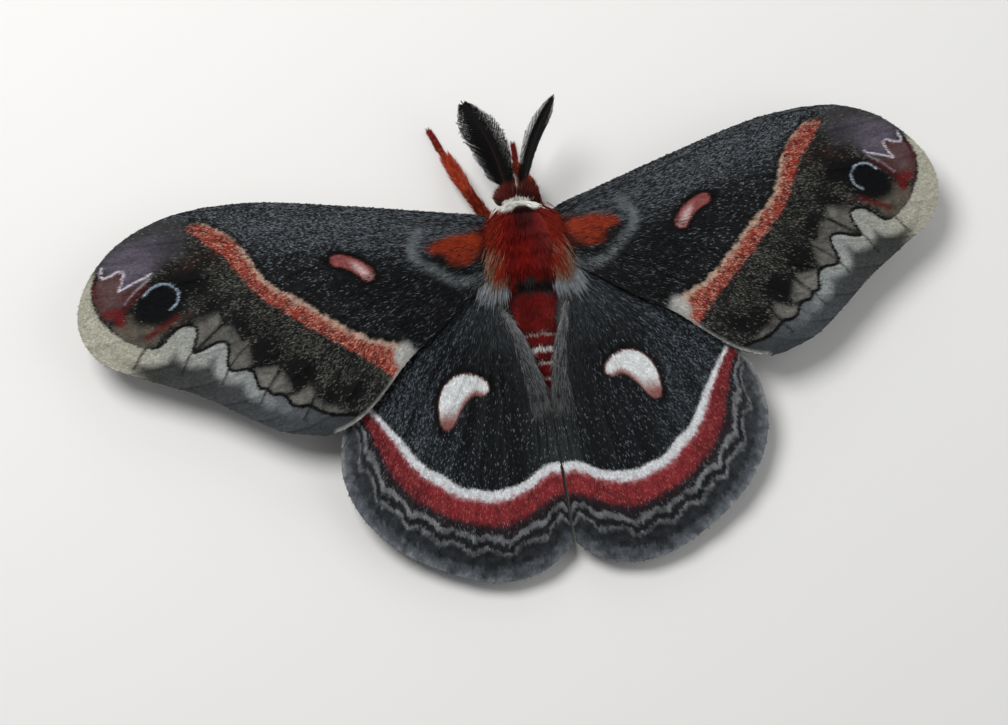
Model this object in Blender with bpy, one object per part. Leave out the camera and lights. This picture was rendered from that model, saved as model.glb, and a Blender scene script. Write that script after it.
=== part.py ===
"""A cecropia moth at rest, life size, made piece by piece.

The moth lies with its wings spread flat: its head points along +Y, its right side along +X, and
+Z is up. It stands on its six feet and on the underside of its abdomen. Sizes are written in
millimetres, as insects are measured, and turned to metres when a mesh is made. Places are measured
from the floor under the middle of the thorax until the last step, which moves the whole moth so
that the middle of its own box stands on the world's origin.
"""

import math
import random

import bmesh
import bpy
import numpy as np
from mathutils import Vector

MM = 0.001
GAP = 0.3  # air left between two pieces that touch in life

# Wings. A swing turns a wing about its hinge, seen from above, because the moth isn't quite even.
WING_THICKNESS = 0.5
VEIN_HEIGHT = 0.3
VEIN_HALF_WIDTH = 0.45
PLEAT_DEPTH = 0.12  # how far the membrane sinks between two veins
FOREWING_HINGE = (5.5, 2.5)
HINDWING_HINGE = (5.5, -3.0)
FOREWING_SWING = 2.45
HINDWING_SWING = 1.0
MIDLINE_GAP = 0.36  # between the two hindwings where they meet behind the abdomen
TIP_REACH = {"left": 1.7, "right": -0.5}  # the left wing's tip is a little longer than the right's
TIP_REACH_START = 48.0
TIP_REACH_END = 67.0
SURFACE_BLEND = 0.5  # how softly the hindwing rises on to the abdomen

# The forewing's edges, as points that a smooth curve passes through.
FOREWING_FRONT_EDGE = [(6.5, 5.7), (12.0, 7.2), (24.0, 10.5), (39.0, 14.1), (47.3, 14.85)]
FOREWING_MARGIN = [
    (47.3, 14.85), (53.6, 14.2), (59.5, 11.6), (64.6, 6.5), (66.9, 0.3), (65.0, -5.4),
    (58.0, -10.2), (52.5, -13.4), (47.4, -17.2), (41.8, -21.0), (36.0, -22.85),
]
FOREWING_REAR_EDGE = [
    (8.6, -5.3), (13.6, -9.2), (20.8, -14.1), (25.0, -18.0), (29.0, -21.2), (33.2, -22.85),
    (36.0, -22.85),
]
FOREWING_ROOT_SPAN = (4.4, -2.6)  # the hinge's two ends along the thorax

# The hindwing's edges. Its front edge runs under the forewing.
HINDWING_FRONT_EDGE = [(12.0, -4.4), (19.5, -8.6), (25.6, -14.3), (29.5, -19.7), (31.9, -23.0)]
HINDWING_MARGIN = [
    (31.9, -23.0), (33.0, -29.7), (31.3, -36.1), (27.2, -41.6), (21.0, -46.0), (13.9, -49.1),
    (9.3, -49.5), (5.0, -48.6), (1.8, -46.7), (0.0, -45.2),
]
HINDWING_INNER_EDGE = [
    (5.3, -7.6), (4.0, -10.5), (2.5, -13.8), (1.5, -16.6), (0.7, -20.0), (0.0, -22.6),
    (0.0, -34.0), (0.0, -45.2),
]
HINDWING_ROOT_SPAN = (-2.5, -5.3)

# Main veins: name, where it meets the margin, where it runs while it is still part of its stem
# (both as the share of the way from the front edge to the rear), and where it leaves the stem
# (as the share of the way from the hinge to the margin).
VEINS_SPREAD = (0.18, 0.80)  # between these shares of the way the veins fan out to the margin
FOREWING_VEINS = [
    ("subcosta", 0.045, 0.10, 0.0),
    ("radius_3", 0.20, 0.20, 0.30),
    ("radius_4", 0.335, 0.25, 0.0),
    ("radius_5", 0.45, 0.30, 0.34),
    ("media_1", 0.56, 0.35, 0.40),
    ("media_2", 0.67, 0.62, 0.42),
    ("media_3", 0.765, 0.67, 0.38),
    ("cubitus_1", 0.85, 0.72, 0.0),
    ("cubitus_2", 0.92, 0.77, 0.30),
]
HINDWING_VEINS = [
    ("subcosta", 0.06, 0.12, 0.0),
    ("radius", 0.19, 0.24, 0.0),
    ("media_1", 0.31, 0.31, 0.34),
    ("media_2", 0.43, 0.50, 0.38),
    ("media_3", 0.54, 0.56, 0.34),
    ("cubitus_1", 0.65, 0.62, 0.0),
    ("cubitus_2", 0.77, 0.68, 0.30),
    ("anal_2", 0.90, 0.86, 0.0),
]

# The body, as oval sections: place along Y, height of the middle, half width, half height.
HEAD_SECTIONS = [
    (7.4, 7.7, 2.2, 2.0), (8.2, 7.6, 2.6, 2.3), (9.1, 7.4, 2.5, 2.2), (9.9, 7.2, 1.7, 1.6),
    (10.3, 7.1, 0.7, 0.7),
]
COLLAR_SECTIONS = [(5.5, 8.2, 3.8, 3.2), (6.1, 8.3, 4.2, 3.6), (6.7, 8.2, 4.0, 3.4), (7.1, 8.0, 3.2, 2.8)]
THORAX_SECTIONS = [
    (5.2, 8.2, 3.9, 3.3), (4.2, 8.2, 4.6, 3.9), (2.4, 8.2, 5.1, 4.3), (0.0, 8.1, 5.3, 4.5),
    (-2.6, 7.8, 5.2, 4.4), (-4.6, 7.4, 5.0, 4.1), (-5.6, 7.2, 4.7, 3.8),
]
ABDOMEN_SHAPE = [
    (-5.9, 6.9, 4.6, 3.7), (-8.5, 6.1, 5.1, 4.2), (-12.0, 5.2, 4.6, 3.9), (-15.0, 4.4, 3.9, 3.6),
    (-18.0, 3.7, 3.2, 3.2), (-21.0, 3.0, 2.4, 2.6), (-23.2, 2.5, 1.5, 1.7), (-24.3, 2.3, 0.7, 0.9),
]
ABDOMEN_SEGMENTS = 8
SEGMENT_BULGE = 0.045
WING_CLEARANCE = 0.62  # from the abdomen's skin up to the middle of a hindwing that lies over it
FLAT_DEPTH = 0.32  # how much of the abdomen's underside the floor flattens

EYE_CENTRE = (2.15, 8.75, 7.1)
EYE_RADII = (1.05, 1.2, 1.35)

# Fur, as flat tapered locks
LOCK_THICKNESS = 0.55
LOCK_SHAPE = [(0.0, 0.75), (0.35, 1.0), (0.7, 0.72), (1.0, 0.14)]  # share of length, of width
LOCK_ROOT_DEPTH = 0.9
THORAX_LOCK_ROWS = 5
THORAX_LOCKS_ACROSS = 6
THORAX_LOCK_FRONT = 4.6
THORAX_LOCK_SPAN = 8.2  # from the front row to the rear one
THORAX_LOCK_TURN = 44.0  # how far round from the top the outer locks stand
THORAX_LOCK_LENGTH = 3.8
THORAX_LOCK_WIDTH = 2.2
THORAX_LOCK_LIFT = (1.15, 1.6)
SHOULDER_LOCKS = 5
SHOULDER_FRONT = 3.3
SHOULDER_SPAN = 5.6
SHOULDER_TURN = 40.0
SHOULDER_LOCK_LENGTH = 3.6
SHOULDER_LOCK_WIDTH = 1.7
SHOULDER_LOCK_LIFT = 0.75
REAR_TUFT_LOCKS = 3
REAR_TUFT_ROOT = (3.7, -4.5, 9.7)
REAR_TUFT_STEP = 0.35  # from one root to the next, and from one heading to the next
REAR_TUFT_LENGTH = 4.0
REAR_TUFT_WIDTH = 1.3
COLLAR_LOCK_ROWS = (6.75, 5.95)  # where the two rows stand along Y
COLLAR_LOCK_TURN = 82.0
COLLAR_LOCKS = 12
COLLAR_LOCK_LENGTH = 2.5
COLLAR_LOCK_WIDTH = 1.35
COLLAR_LOCK_LEAN = 0.3

# Antennae: a tapered shaft with a comb of side branches. A twist rolls the comb about its shaft.
ANTENNA_ROOT = (0.95, 9.35)
ANTENNA_TIP = {"left": (-6.3, 23.6, 12.0), "right": (7.9, 22.4, 13.0)}
ANTENNA_TWIST = {"left": 12.0, "right": -68.0}
ANTENNA_ARCH = 0.8
SHAFT_RADIUS = (0.42, 0.25)
BRANCH_PAIRS = 15
BRANCH_RADIUS = 0.26
BRANCH_LENGTH = {"outer": 3.7, "inner": 2.9}
BRANCH_SWEEP = 0.55  # how far a branch leans towards the antenna's tip
BRANCH_CURL = 0.35
BRANCHES_START = 0.07  # where along the shaft the first pair grows
BRANCHES_SPAN = 0.9
COMB_SHAPE = (0.10, 0.82, 0.6)  # the branches are longest a little past the middle

# Legs, from the hip down to the toe: hip, knee, ankle and toe for each side
LEG_RADIUS = {"hip": 0.95, "thigh": 0.8, "knee": 0.62, "shin": 0.95, "ankle": 0.5, "toe": 0.42}
SHIN_FUR = {"leg_fore_left": 1.22}  # this shin's coat stands out fuller than the others'
HIP_DROP = 0.7
TOE_JOINTS = 5
FOOT_HEIGHT = 0.22
LEGS = {
    "leg_fore_left": [(-2.4, 3.7), (-3.5, 5.4, 3.5), (-6.6, 10.9, 5.0), (-8.7, 18.1, 1.1), (-10.7, 23.3)],
    "leg_fore_right": [(2.4, 3.7), (4.1, 6.2, 3.7), (3.3, 11.3, 4.2), (2.1, 15.2, 1.1), (2.2, 19.3)],
    "leg_mid_left": [(-3.0, 0.4), (-4.6, 0.4, 2.9), (-10.0, -0.6, 5.4), (-14.0, -3.6, 1.1), (-16.8, -6.6)],
    "leg_mid_right": [(3.0, 0.4), (4.6, 0.4, 2.9), (10.0, -0.6, 5.4), (14.0, -3.6, 1.1), (16.8, -6.6)],
    "leg_hind_left": [(-2.8, -2.8), (-4.3, -3.6, 2.6), (-8.6, -8.4, 4.6), (-11.6, -14.6, 1.1), (-12.8, -19.6)],
    "leg_hind_right": [(2.8, -2.8), (4.3, -3.6, 2.6), (8.6, -8.4, 4.6), (11.6, -14.6, 1.1), (12.8, -19.6)],
}

COLOURS = {
    "head": (0.16, 0.045, 0.03), "eye": (0.02, 0.013, 0.01), "antenna": (0.03, 0.022, 0.02),
    "collar": (0.75, 0.7, 0.66), "thorax": (0.24, 0.035, 0.022), "abdomen": (0.42, 0.08, 0.05),
    "forewing": (0.07, 0.062, 0.06), "hindwing": (0.075, 0.06, 0.058), "leg": (0.34, 0.075, 0.035),
}


def clear_scene():
    for old in list(bpy.data.objects):
        bpy.data.objects.remove(old)


def material(slot, roughness=0.9):
    found = bpy.data.materials.get(slot)
    if found:
        return found
    made = bpy.data.materials.new(slot)
    made.use_nodes = True
    surface = made.node_tree.nodes["Principled BSDF"]
    surface.inputs["Base Color"].default_value = (*COLOURS[slot], 1.0)
    surface.inputs["Roughness"].default_value = roughness
    surface.inputs["Metallic"].default_value = 0.0
    return made


def new_object(name, points, faces, slot, smooth=True):
    """One object from points in millimetres, its faces turned to look out."""
    mesh = bpy.data.meshes.new(name)
    mesh.from_pydata([tuple(float(c) * MM for c in p) for p in points], [], faces)
    shape = bmesh.new()
    shape.from_mesh(mesh)
    bmesh.ops.recalc_face_normals(shape, faces=shape.faces)
    if shape.calc_volume(signed=True) < 0:
        bmesh.ops.reverse_faces(shape, faces=shape.faces)
    shape.to_mesh(mesh)
    shape.free()
    if smooth:
        mesh.shade_smooth()
        mesh.set_sharp_from_angle(angle=math.radians(50))
    mesh.materials.append(material(slot))
    made = bpy.data.objects.new(name, mesh)
    bpy.context.scene.collection.objects.link(made)
    return made


def smooth_path(points, count=160):
    """Points evenly spaced along a smooth curve that passes through the given ones."""
    knots = np.array(points, float)
    ends = np.vstack([2 * knots[0] - knots[1], knots, 2 * knots[-1] - knots[-2]])
    steps = np.sqrt(np.linalg.norm(np.diff(ends, axis=0), axis=1))
    time = np.concatenate([[0.0], np.cumsum(steps)])
    fine = []
    for i in range(1, len(ends) - 2):
        p0, p1, p2, p3 = ends[i - 1:i + 3]
        t0, t1, t2, t3 = time[i - 1:i + 3]
        for t in np.linspace(t1, t2, 24, endpoint=False):
            a1 = (t1 - t) / (t1 - t0) * p0 + (t - t0) / (t1 - t0) * p1
            a2 = (t2 - t) / (t2 - t1) * p1 + (t - t1) / (t2 - t1) * p2
            a3 = (t3 - t) / (t3 - t2) * p2 + (t - t2) / (t3 - t2) * p3
            b1 = (t2 - t) / (t2 - t0) * a1 + (t - t0) / (t2 - t0) * a2
            b2 = (t3 - t) / (t3 - t1) * a2 + (t - t1) / (t3 - t1) * a3
            fine.append((t2 - t) / (t2 - t1) * b1 + (t - t1) / (t2 - t1) * b2)
    fine.append(knots[-1])
    return even_points(np.array(fine), count)


def even_points(line, count):
    lengths = np.concatenate([[0.0], np.cumsum(np.linalg.norm(np.diff(line, axis=0), axis=1))])
    wanted = np.linspace(0.0, lengths[-1], count)
    return np.stack([np.interp(wanted, lengths, line[:, k]) for k in range(line.shape[1])], axis=1)


def at(line, share):
    """The point at this share of the way along an evenly spaced line."""
    place = np.linspace(0.0, 1.0, len(line))
    return np.array([np.interp(share, place, line[:, k]) for k in range(line.shape[1])])


def section(sections, y):
    """Middle height, half width and half height of the body at this place along Y."""
    rows = np.array(sorted(sections))
    return [float(np.interp(y, rows[:, 0], rows[:, k])) for k in (1, 2, 3)]


def half_width(sections, y, z):
    middle, wide, high = section(sections, y)
    return wide * math.sqrt(max(0.0, 1.0 - ((z - middle) / high) ** 2))


def top_height(sections, x, y, side=1.0):
    """Height of the body's upper skin at a place, or with side -1 of its lower skin."""
    middle, wide, high = section(sections, y)
    return middle + side * high * math.sqrt(max(0.0, 1.0 - (x / wide) ** 2))


def loft(name, rings, slot):
    """A closed body from rings of points that follow one another, with flat ends."""
    sides = len(rings[0])
    points = [p for ring in rings for p in ring]
    faces = []
    for i in range(len(rings) - 1):
        for k in range(sides):
            following = (k + 1) % sides
            faces.append((i * sides + k, i * sides + following,
                          (i + 1) * sides + following, (i + 1) * sides + k))
    faces.append(tuple(range(sides)))
    faces.append(tuple((len(rings) - 1) * sides + k for k in range(sides)))
    return new_object(name, points, faces, slot)


def body_rings(sections, sides):
    rings = []
    for y, middle, wide, high in sections:
        ring = []
        for k in range(sides):
            turn = 2 * math.pi * k / sides
            ring.append((wide * math.sin(turn), y, middle + high * math.cos(turn)))
        rings.append(ring)
    return rings


def volume_of(faces):
    total = 0.0
    for face in faces:
        corners = [loop.vert.co for loop in face.loops]
        for i in range(1, len(corners) - 1):
            total += corners[0].dot(corners[i].cross(corners[i + 1])) / 6.0
    return total


def keep_largest_surface(shape):
    """Drops every closed surface of the mesh but the one that holds the most."""
    unseen = set(shape.faces)
    groups = []
    while unseen:
        group = [unseen.pop()]
        for face in group:
            for edge in face.edges:
                for other in edge.link_faces:
                    if other in unseen:
                        unseen.discard(other)
                        group.append(other)
        groups.append(group)
    largest = max(groups, key=volume_of)
    spare = [face for group in groups if group is not largest for face in group]
    bmesh.ops.delete(shape, geom=spare, context="FACES")


def combine(core, others, operation="UNION", solver="MANIFOLD"):
    """Joins the other objects to the core, or cuts them out of it, and removes them."""
    helpers = bpy.data.collections.new(core.name + "_pieces")
    bpy.context.scene.collection.children.link(helpers)
    for other in others:
        bpy.context.scene.collection.objects.unlink(other)
        helpers.objects.link(other)
    change = core.modifiers.new("combine", "BOOLEAN")
    change.operation = operation
    change.operand_type = "COLLECTION"
    change.collection = helpers
    change.solver = solver
    graph = bpy.context.evaluated_depsgraph_get()
    mesh = bpy.data.meshes.new_from_object(core.evaluated_get(graph))
    core.modifiers.clear()
    core.data = mesh
    for other in others:
        bpy.data.objects.remove(other)
    bpy.data.collections.remove(helpers)
    shape = bmesh.new()
    shape.from_mesh(mesh)
    keep_largest_surface(shape)
    bmesh.ops.triangulate(shape, faces=shape.faces)
    shape.to_mesh(mesh)
    shape.free()
    return core


def ribbon(name, spine, widths, across, thickness, slot):
    """A flat tapered lock along a spine: four sides at each step, wide across and thin upright."""
    rings = []
    for i, point in enumerate(spine):
        ahead = spine[min(i + 1, len(spine) - 1)] - spine[max(i - 1, 0)]
        ahead = ahead / np.linalg.norm(ahead)
        side = across - ahead * np.dot(across, ahead)
        side = side / np.linalg.norm(side)
        upright = np.cross(side, ahead)
        half = widths[i] / 2
        thin = thickness / 2 * min(1.0, widths[i] / thickness)
        rings.append([point + side * half, point + upright * thin,
                      point - side * half, point - upright * thin])
    return loft(name, rings, slot)


def lock(name, root, out, lie, length, width, lift, slot):
    """One lock: its root is sunk into the core, and it bends over to lie along the coat."""
    root = np.array(root, float)
    out = np.array(out, float) / np.linalg.norm(out)
    lie = np.array(lie, float)
    lie = lie - out * np.dot(lie, out)
    lie = lie / np.linalg.norm(lie)
    across = np.cross(out, lie)
    spine = []
    widths = []
    for share, wide in LOCK_SHAPE:
        rise = -LOCK_ROOT_DEPTH + (lift + LOCK_ROOT_DEPTH) * math.sin(share * math.pi / 2) ** 0.8
        spine.append(root + lie * length * share + out * rise)
        widths.append(width * wide)
    return ribbon(name, spine, widths, across, LOCK_THICKNESS, slot)


def forewing_height(x, y):
    """Height of the middle of the forewing's membrane at a place on the unswung right wing."""
    return 10.6 - 0.045 * max(x - 5.0, 0.0) + 0.06 * min(y, 0.0)


def hindwing_height(x, y):
    """The hindwing slopes down to the rear and rises a little where it lies over the abdomen."""
    free = 8.9 + 0.125 * min(y + 3.0, 0.0)
    middle, wide, high = section(ABDOMEN_SHAPE, y)
    if y < ABDOMEN_SHAPE[-1][0] or abs(x) >= wide:
        over = middle - high
    else:
        over = top_height(ABDOMEN_SHAPE, x, y) + WING_CLEARANCE
    blend = SURFACE_BLEND
    return blend * math.log(math.exp(free / blend) + math.exp(over / blend))


def eased(value, start, end):
    """0 before the start and 1 after the end, with a soft change between them."""
    share = min(1.0, max(0.0, (value - start) / (end - start)))
    return share * share * (3.0 - 2.0 * share)


def swung(point, hinge, side, swing):
    """A point of the right wing as drawn, carried to its side and turned about its hinge."""
    sign = 1.0 if side == "right" else -1.0
    turn = math.radians(swing)
    reach = TIP_REACH[side] * eased(point[0], TIP_REACH_START, TIP_REACH_END)
    dx = sign * (point[0] + reach - hinge[0])
    dy = point[1] - hinge[1]
    return (sign * hinge[0] + dx * math.cos(turn) - dy * math.sin(turn),
            hinge[1] + dx * math.sin(turn) + dy * math.cos(turn))


def unswung(point, hinge, side, swing):
    sign = 1.0 if side == "right" else -1.0
    turn = -math.radians(swing)
    dx = point[0] - sign * hinge[0]
    dy = point[1] - hinge[1]
    return (sign * (dx * math.cos(turn) - dy * math.sin(turn)) + hinge[0],
            hinge[1] + dx * math.sin(turn) + dy * math.cos(turn))


def hinge_line(span, height, hinge, side, swing, count=24):
    """The wing's root, kept one gap off the thorax, as points of the unswung right wing."""
    sign = 1.0 if side == "right" else -1.0
    line = []
    for y in np.linspace(span[0], span[1], count):
        x = sign * 5.0
        for _ in range(4):
            place = unswung((x, y), hinge, side, swing)
            x = sign * (half_width(THORAX_SECTIONS, y, height(*place)) + GAP + 0.05)
        line.append(unswung((x, y), hinge, side, swing))
    return np.array(line)


def wing_columns(veins):
    """What runs down the wing from front to rear: (kind, vein number, side of the vein)."""
    columns = [("edge", 0, 0)]
    for number in range(len(veins)):
        columns += [("foot", number, -1), ("crest", number, 0), ("foot", number, 1)]
        if number + 1 < len(veins):
            columns.append(("web", number, 0))
    columns.append(("edge", len(veins) - 1, 1))
    return columns


def vein_share(vein, v):
    """Where a vein runs between the wing's edges at this share of the way to the margin."""
    return vein[2] + (vein[1] - vein[2]) * eased(v, *VEINS_SPREAD)


def wing(name, side, edges, veins, hinge, swing, height, root_span, rows, slot, edge_extra):
    """A thin plate between two edges and a margin, with its veins raised as ridges."""
    front_points, margin_points, rear_points = edges
    root = hinge_line(root_span, height, hinge, side, swing)
    front = smooth_path([tuple(root[0])] + front_points)
    rear = smooth_path([tuple(root[-1])] + rear_points)
    margin = smooth_path(margin_points)
    root = even_points(root, 60)

    def place(u, v):
        corners = ((1 - u) * (1 - v) * root[0] + u * (1 - v) * root[-1]
                   + (1 - u) * v * margin[0] + u * v * margin[-1])
        return ((1 - u) * at(front, v) + u * at(rear, v)
                + (1 - v) * at(root, u) + v * at(margin, u) - corners)

    columns = wing_columns(veins)
    top = []
    bottom = []
    for v in np.linspace(0.0, 1.0, rows) ** 1.15:
        shares = [vein_share(vein, v) for vein in veins]
        bounds = [0.0] + shares + [1.0]
        width = np.linalg.norm(place(1.0, v) - place(0.0, v))
        for kind, number, which in columns:
            u = shares[number]
            rise = 0.0
            if kind == "edge":
                u = float(which)
                rise = edge_extra if which == 0 else 0.0
            elif kind == "web":
                u = (shares[number] + shares[number + 1]) / 2
                rise = -PLEAT_DEPTH * math.sin(math.pi * min(1.0, v))
            elif kind == "foot":
                room = bounds[number + 1 + which] - u
                u += math.copysign(min(VEIN_HALF_WIDTH / width, 0.34 * abs(room)), room)
            else:
                leaves = veins[number][3]
                rise = VEIN_HEIGHT * min(1.0, max(0.0, (v - leaves) / 0.06 + (leaves == 0.0)))
            x, y = place(u, v)
            z = height(x, y) + min(rise, 0.0)
            px, py = swung((x, y), hinge, side, swing)
            top.append((px, py, z + WING_THICKNESS / 2 + max(rise, 0.0)))
            bottom.append((px, py, z - WING_THICKNESS / 2 - 0.4 * max(rise, 0.0)))
    return plate(name, top, bottom, len(columns), rows, slot)


def plate(name, top, bottom, across, rows, slot):
    """A closed plate from two matching grids, split into triangles the same way on both faces."""
    faces = []
    under = len(top)
    for r in range(rows - 1):
        for c in range(across - 1):
            a = r * across + c
            b = a + 1
            d = a + across
            e = d + 1
            faces += [(a, b, e), (a, e, d), (under + a, under + e, under + b),
                      (under + a, under + d, under + e)]
    rim = [c for c in range(across)]
    rim += [(r + 1) * across - 1 for r in range(1, rows)]
    rim += [(rows - 1) * across + c for c in range(across - 2, -1, -1)]
    rim += [r * across for r in range(rows - 2, 0, -1)]
    for i, a in enumerate(rim):
        b = rim[(i + 1) % len(rim)]
        faces += [(a, under + a, under + b), (a, under + b, b)]
    return new_object(name, top + bottom, faces, slot)


def make_wings():
    for side in ("left", "right"):
        wing("forewing_" + side, side,
             (FOREWING_FRONT_EDGE, FOREWING_MARGIN, FOREWING_REAR_EDGE), FOREWING_VEINS,
             FOREWING_HINGE, FOREWING_SWING, forewing_height, FOREWING_ROOT_SPAN, 12,
             "forewing", 0.2)
        lean = MIDLINE_GAP / 2
        margin = [(max(x, lean), y) for x, y in HINDWING_MARGIN]
        inner = [(max(x, lean), y) for x, y in HINDWING_INNER_EDGE]
        wing("hindwing_" + side, side, (HINDWING_FRONT_EDGE, margin, inner), HINDWING_VEINS,
             HINDWING_HINGE, HINDWING_SWING, hindwing_height, HINDWING_ROOT_SPAN, 12,
             "hindwing", 0.0)


def make_thorax(rng):
    """The thorax: a smooth core under a coat of long locks that lie back over the wing roots."""
    core = loft("thorax", body_rings(THORAX_SECTIONS, 20), "thorax")
    locks = []
    for row in range(THORAX_LOCK_ROWS):
        y = THORAX_LOCK_FRONT - THORAX_LOCK_SPAN * row / (THORAX_LOCK_ROWS - 1)
        middle, wide, high = section(THORAX_SECTIONS, y)
        for k in range(THORAX_LOCKS_ACROSS):
            shift = 0.5 if row % 2 else 0.0
            spread = (k + shift - (THORAX_LOCKS_ACROSS - 0.5) / 2) / (THORAX_LOCKS_ACROSS / 2)
            turn = math.radians(THORAX_LOCK_TURN) * spread
            out = (math.sin(turn) / wide, 0.0, math.cos(turn) / high)
            root = (wide * math.sin(turn), y, middle + high * math.cos(turn))
            lie = (0.35 * math.sin(turn) + rng.uniform(-0.15, 0.15), -1.0, 0.0)
            locks.append(lock("lock", root, out, lie,
                              THORAX_LOCK_LENGTH * rng.uniform(0.85, 1.1),
                              THORAX_LOCK_WIDTH * rng.uniform(0.85, 1.15),
                              rng.uniform(*THORAX_LOCK_LIFT), "thorax"))
    for sign in (-1.0, 1.0):
        for k in range(SHOULDER_LOCKS):
            y = SHOULDER_FRONT - SHOULDER_SPAN * k / (SHOULDER_LOCKS - 1)
            middle, wide, high = section(THORAX_SECTIONS, y)
            turn = math.radians(SHOULDER_TURN)
            root = (sign * wide * math.sin(turn), y, middle + high * math.cos(turn))
            lie = (sign, -0.55 + rng.uniform(-0.15, 0.15), 0.12)
            locks.append(lock("shoulder_lock", root, (0.0, 0.0, 1.0), lie,
                              SHOULDER_LOCK_LENGTH * rng.uniform(0.9, 1.05),
                              SHOULDER_LOCK_WIDTH * rng.uniform(0.9, 1.1),
                              SHOULDER_LOCK_LIFT, "thorax"))
        for k in range(REAR_TUFT_LOCKS):
            x, y, z = REAR_TUFT_ROOT
            root = (sign * (x + REAR_TUFT_STEP * k), y, z)
            lie = (sign * (0.30 + REAR_TUFT_STEP * k), -1.0, 0.0)
            locks.append(lock("rear_tuft", root, (0.0, 0.0, 1.0), lie,
                              REAR_TUFT_LENGTH - 0.3 * k, REAR_TUFT_WIDTH, 0.35, "thorax"))
    return combine(core, locks)


def make_collar(rng):
    """The pale ruff behind the head: a short ring with two rows of locks that stand up from it."""
    core = loft("collar", body_rings(COLLAR_SECTIONS, 20), "collar")
    locks = []
    for row, y in enumerate(COLLAR_LOCK_ROWS):
        middle, wide, high = section(COLLAR_SECTIONS, y)
        for k in range(COLLAR_LOCKS):
            share = (k + 0.5 * row) / (COLLAR_LOCKS - 0.5)
            turn = math.radians(COLLAR_LOCK_TURN * (2.0 * share - 1.0))
            out = np.array((math.sin(turn), 0.0, math.cos(turn)))
            base = np.array((wide * math.sin(turn), y, middle + high * math.cos(turn)))
            reach = COLLAR_LOCK_LENGTH * rng.uniform(0.85, 1.05)
            spine = []
            for along, _ in LOCK_SHAPE:
                back = np.array((0.0, -COLLAR_LOCK_LEAN * along ** 2, 0.0))
                spine.append(base + out * (reach * along - LOCK_ROOT_DEPTH) + back)
            widths = [COLLAR_LOCK_WIDTH * wide_share for _, wide_share in LOCK_SHAPE]
            across = np.array((math.cos(turn), 0.0, -math.sin(turn)))
            locks.append(ribbon("collar_lock", spine, widths, across, LOCK_THICKNESS, "collar"))
    return combine(core, locks)


def make_abdomen():
    """The abdomen: rings of segments that narrow to the tip and rest on the floor."""
    rings = []
    sides = 20
    front = ABDOMEN_SHAPE[0][0]
    rear = ABDOMEN_SHAPE[-1][0]
    span = (front - rear) / ABDOMEN_SEGMENTS
    stations = []
    for number in range(ABDOMEN_SEGMENTS):
        for share, bulge in ((0.0, 0.0), (0.45, 1.0), (0.93, 0.75)):
            stations.append((front - span * (number + share), bulge))
    stations.append((rear, 0.0))
    for y, bulge in stations:
        middle, wide, high = section(ABDOMEN_SHAPE, y)
        swell = 1.0 + SEGMENT_BULGE * bulge
        turn = math.radians(HINDWING_SWING)
        shift = -(y - HINDWING_HINGE[1]) * math.sin(turn)
        ring = []
        for k in range(sides):
            angle = 2 * math.pi * k / sides
            z = middle + high * swell * math.cos(angle)
            ring.append((shift + wide * swell * math.sin(angle), y, z))
        rings.append(ring)
    lowest = min(p[2] for ring in rings for p in ring)
    rings = [[(x, y, max(z - lowest - FLAT_DEPTH, 0.0)) for x, y, z in ring] for ring in rings]
    return loft("abdomen", rings, "abdomen")


def ball(name, centre, radii, slot, rings=9, sides=16):
    loops = []
    for i in range(rings):
        lean = math.pi * (i + 0.5) / rings
        loops.append([(centre[0] + radii[0] * math.sin(lean) * math.cos(2 * math.pi * k / sides),
                       centre[1] + radii[1] * math.sin(lean) * math.sin(2 * math.pi * k / sides),
                       centre[2] + radii[2] * math.cos(lean)) for k in range(sides)])
    return loft(name, loops, slot)


def make_head():
    """The head, with a socket that keeps one gap round each eye."""
    core = loft("head", body_rings(HEAD_SECTIONS, 20), "head")
    sockets = []
    for side, sign in (("left", -1.0), ("right", 1.0)):
        centre = (sign * EYE_CENTRE[0], EYE_CENTRE[1], EYE_CENTRE[2])
        sockets.append(ball("socket", centre, [r + GAP for r in EYE_RADII], "head"))
        ball("eye_" + side, centre, EYE_RADII, "eye")
    return combine(core, sockets, "DIFFERENCE")


def branch(root, direction, toward_tip, length, radius):
    """One side branch of an antenna: a four-sided spike that curls towards the tip."""
    rings = []
    for share in (0.0, 0.5, 1.0):
        point = root + direction * length * share + toward_tip * BRANCH_CURL * length * share ** 2
        size = radius * (1.0 - 0.62 * share)
        heading = direction + toward_tip * BRANCH_CURL * 2.0 * share
        heading = heading / np.linalg.norm(heading)
        side = np.cross(heading, np.cross(direction, toward_tip))
        side = side / np.linalg.norm(side)
        upright = np.cross(heading, side)
        rings.append([point + side * size, point + upright * size,
                      point - side * size, point - upright * size])
    return loft("branch", rings, "antenna")


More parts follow.
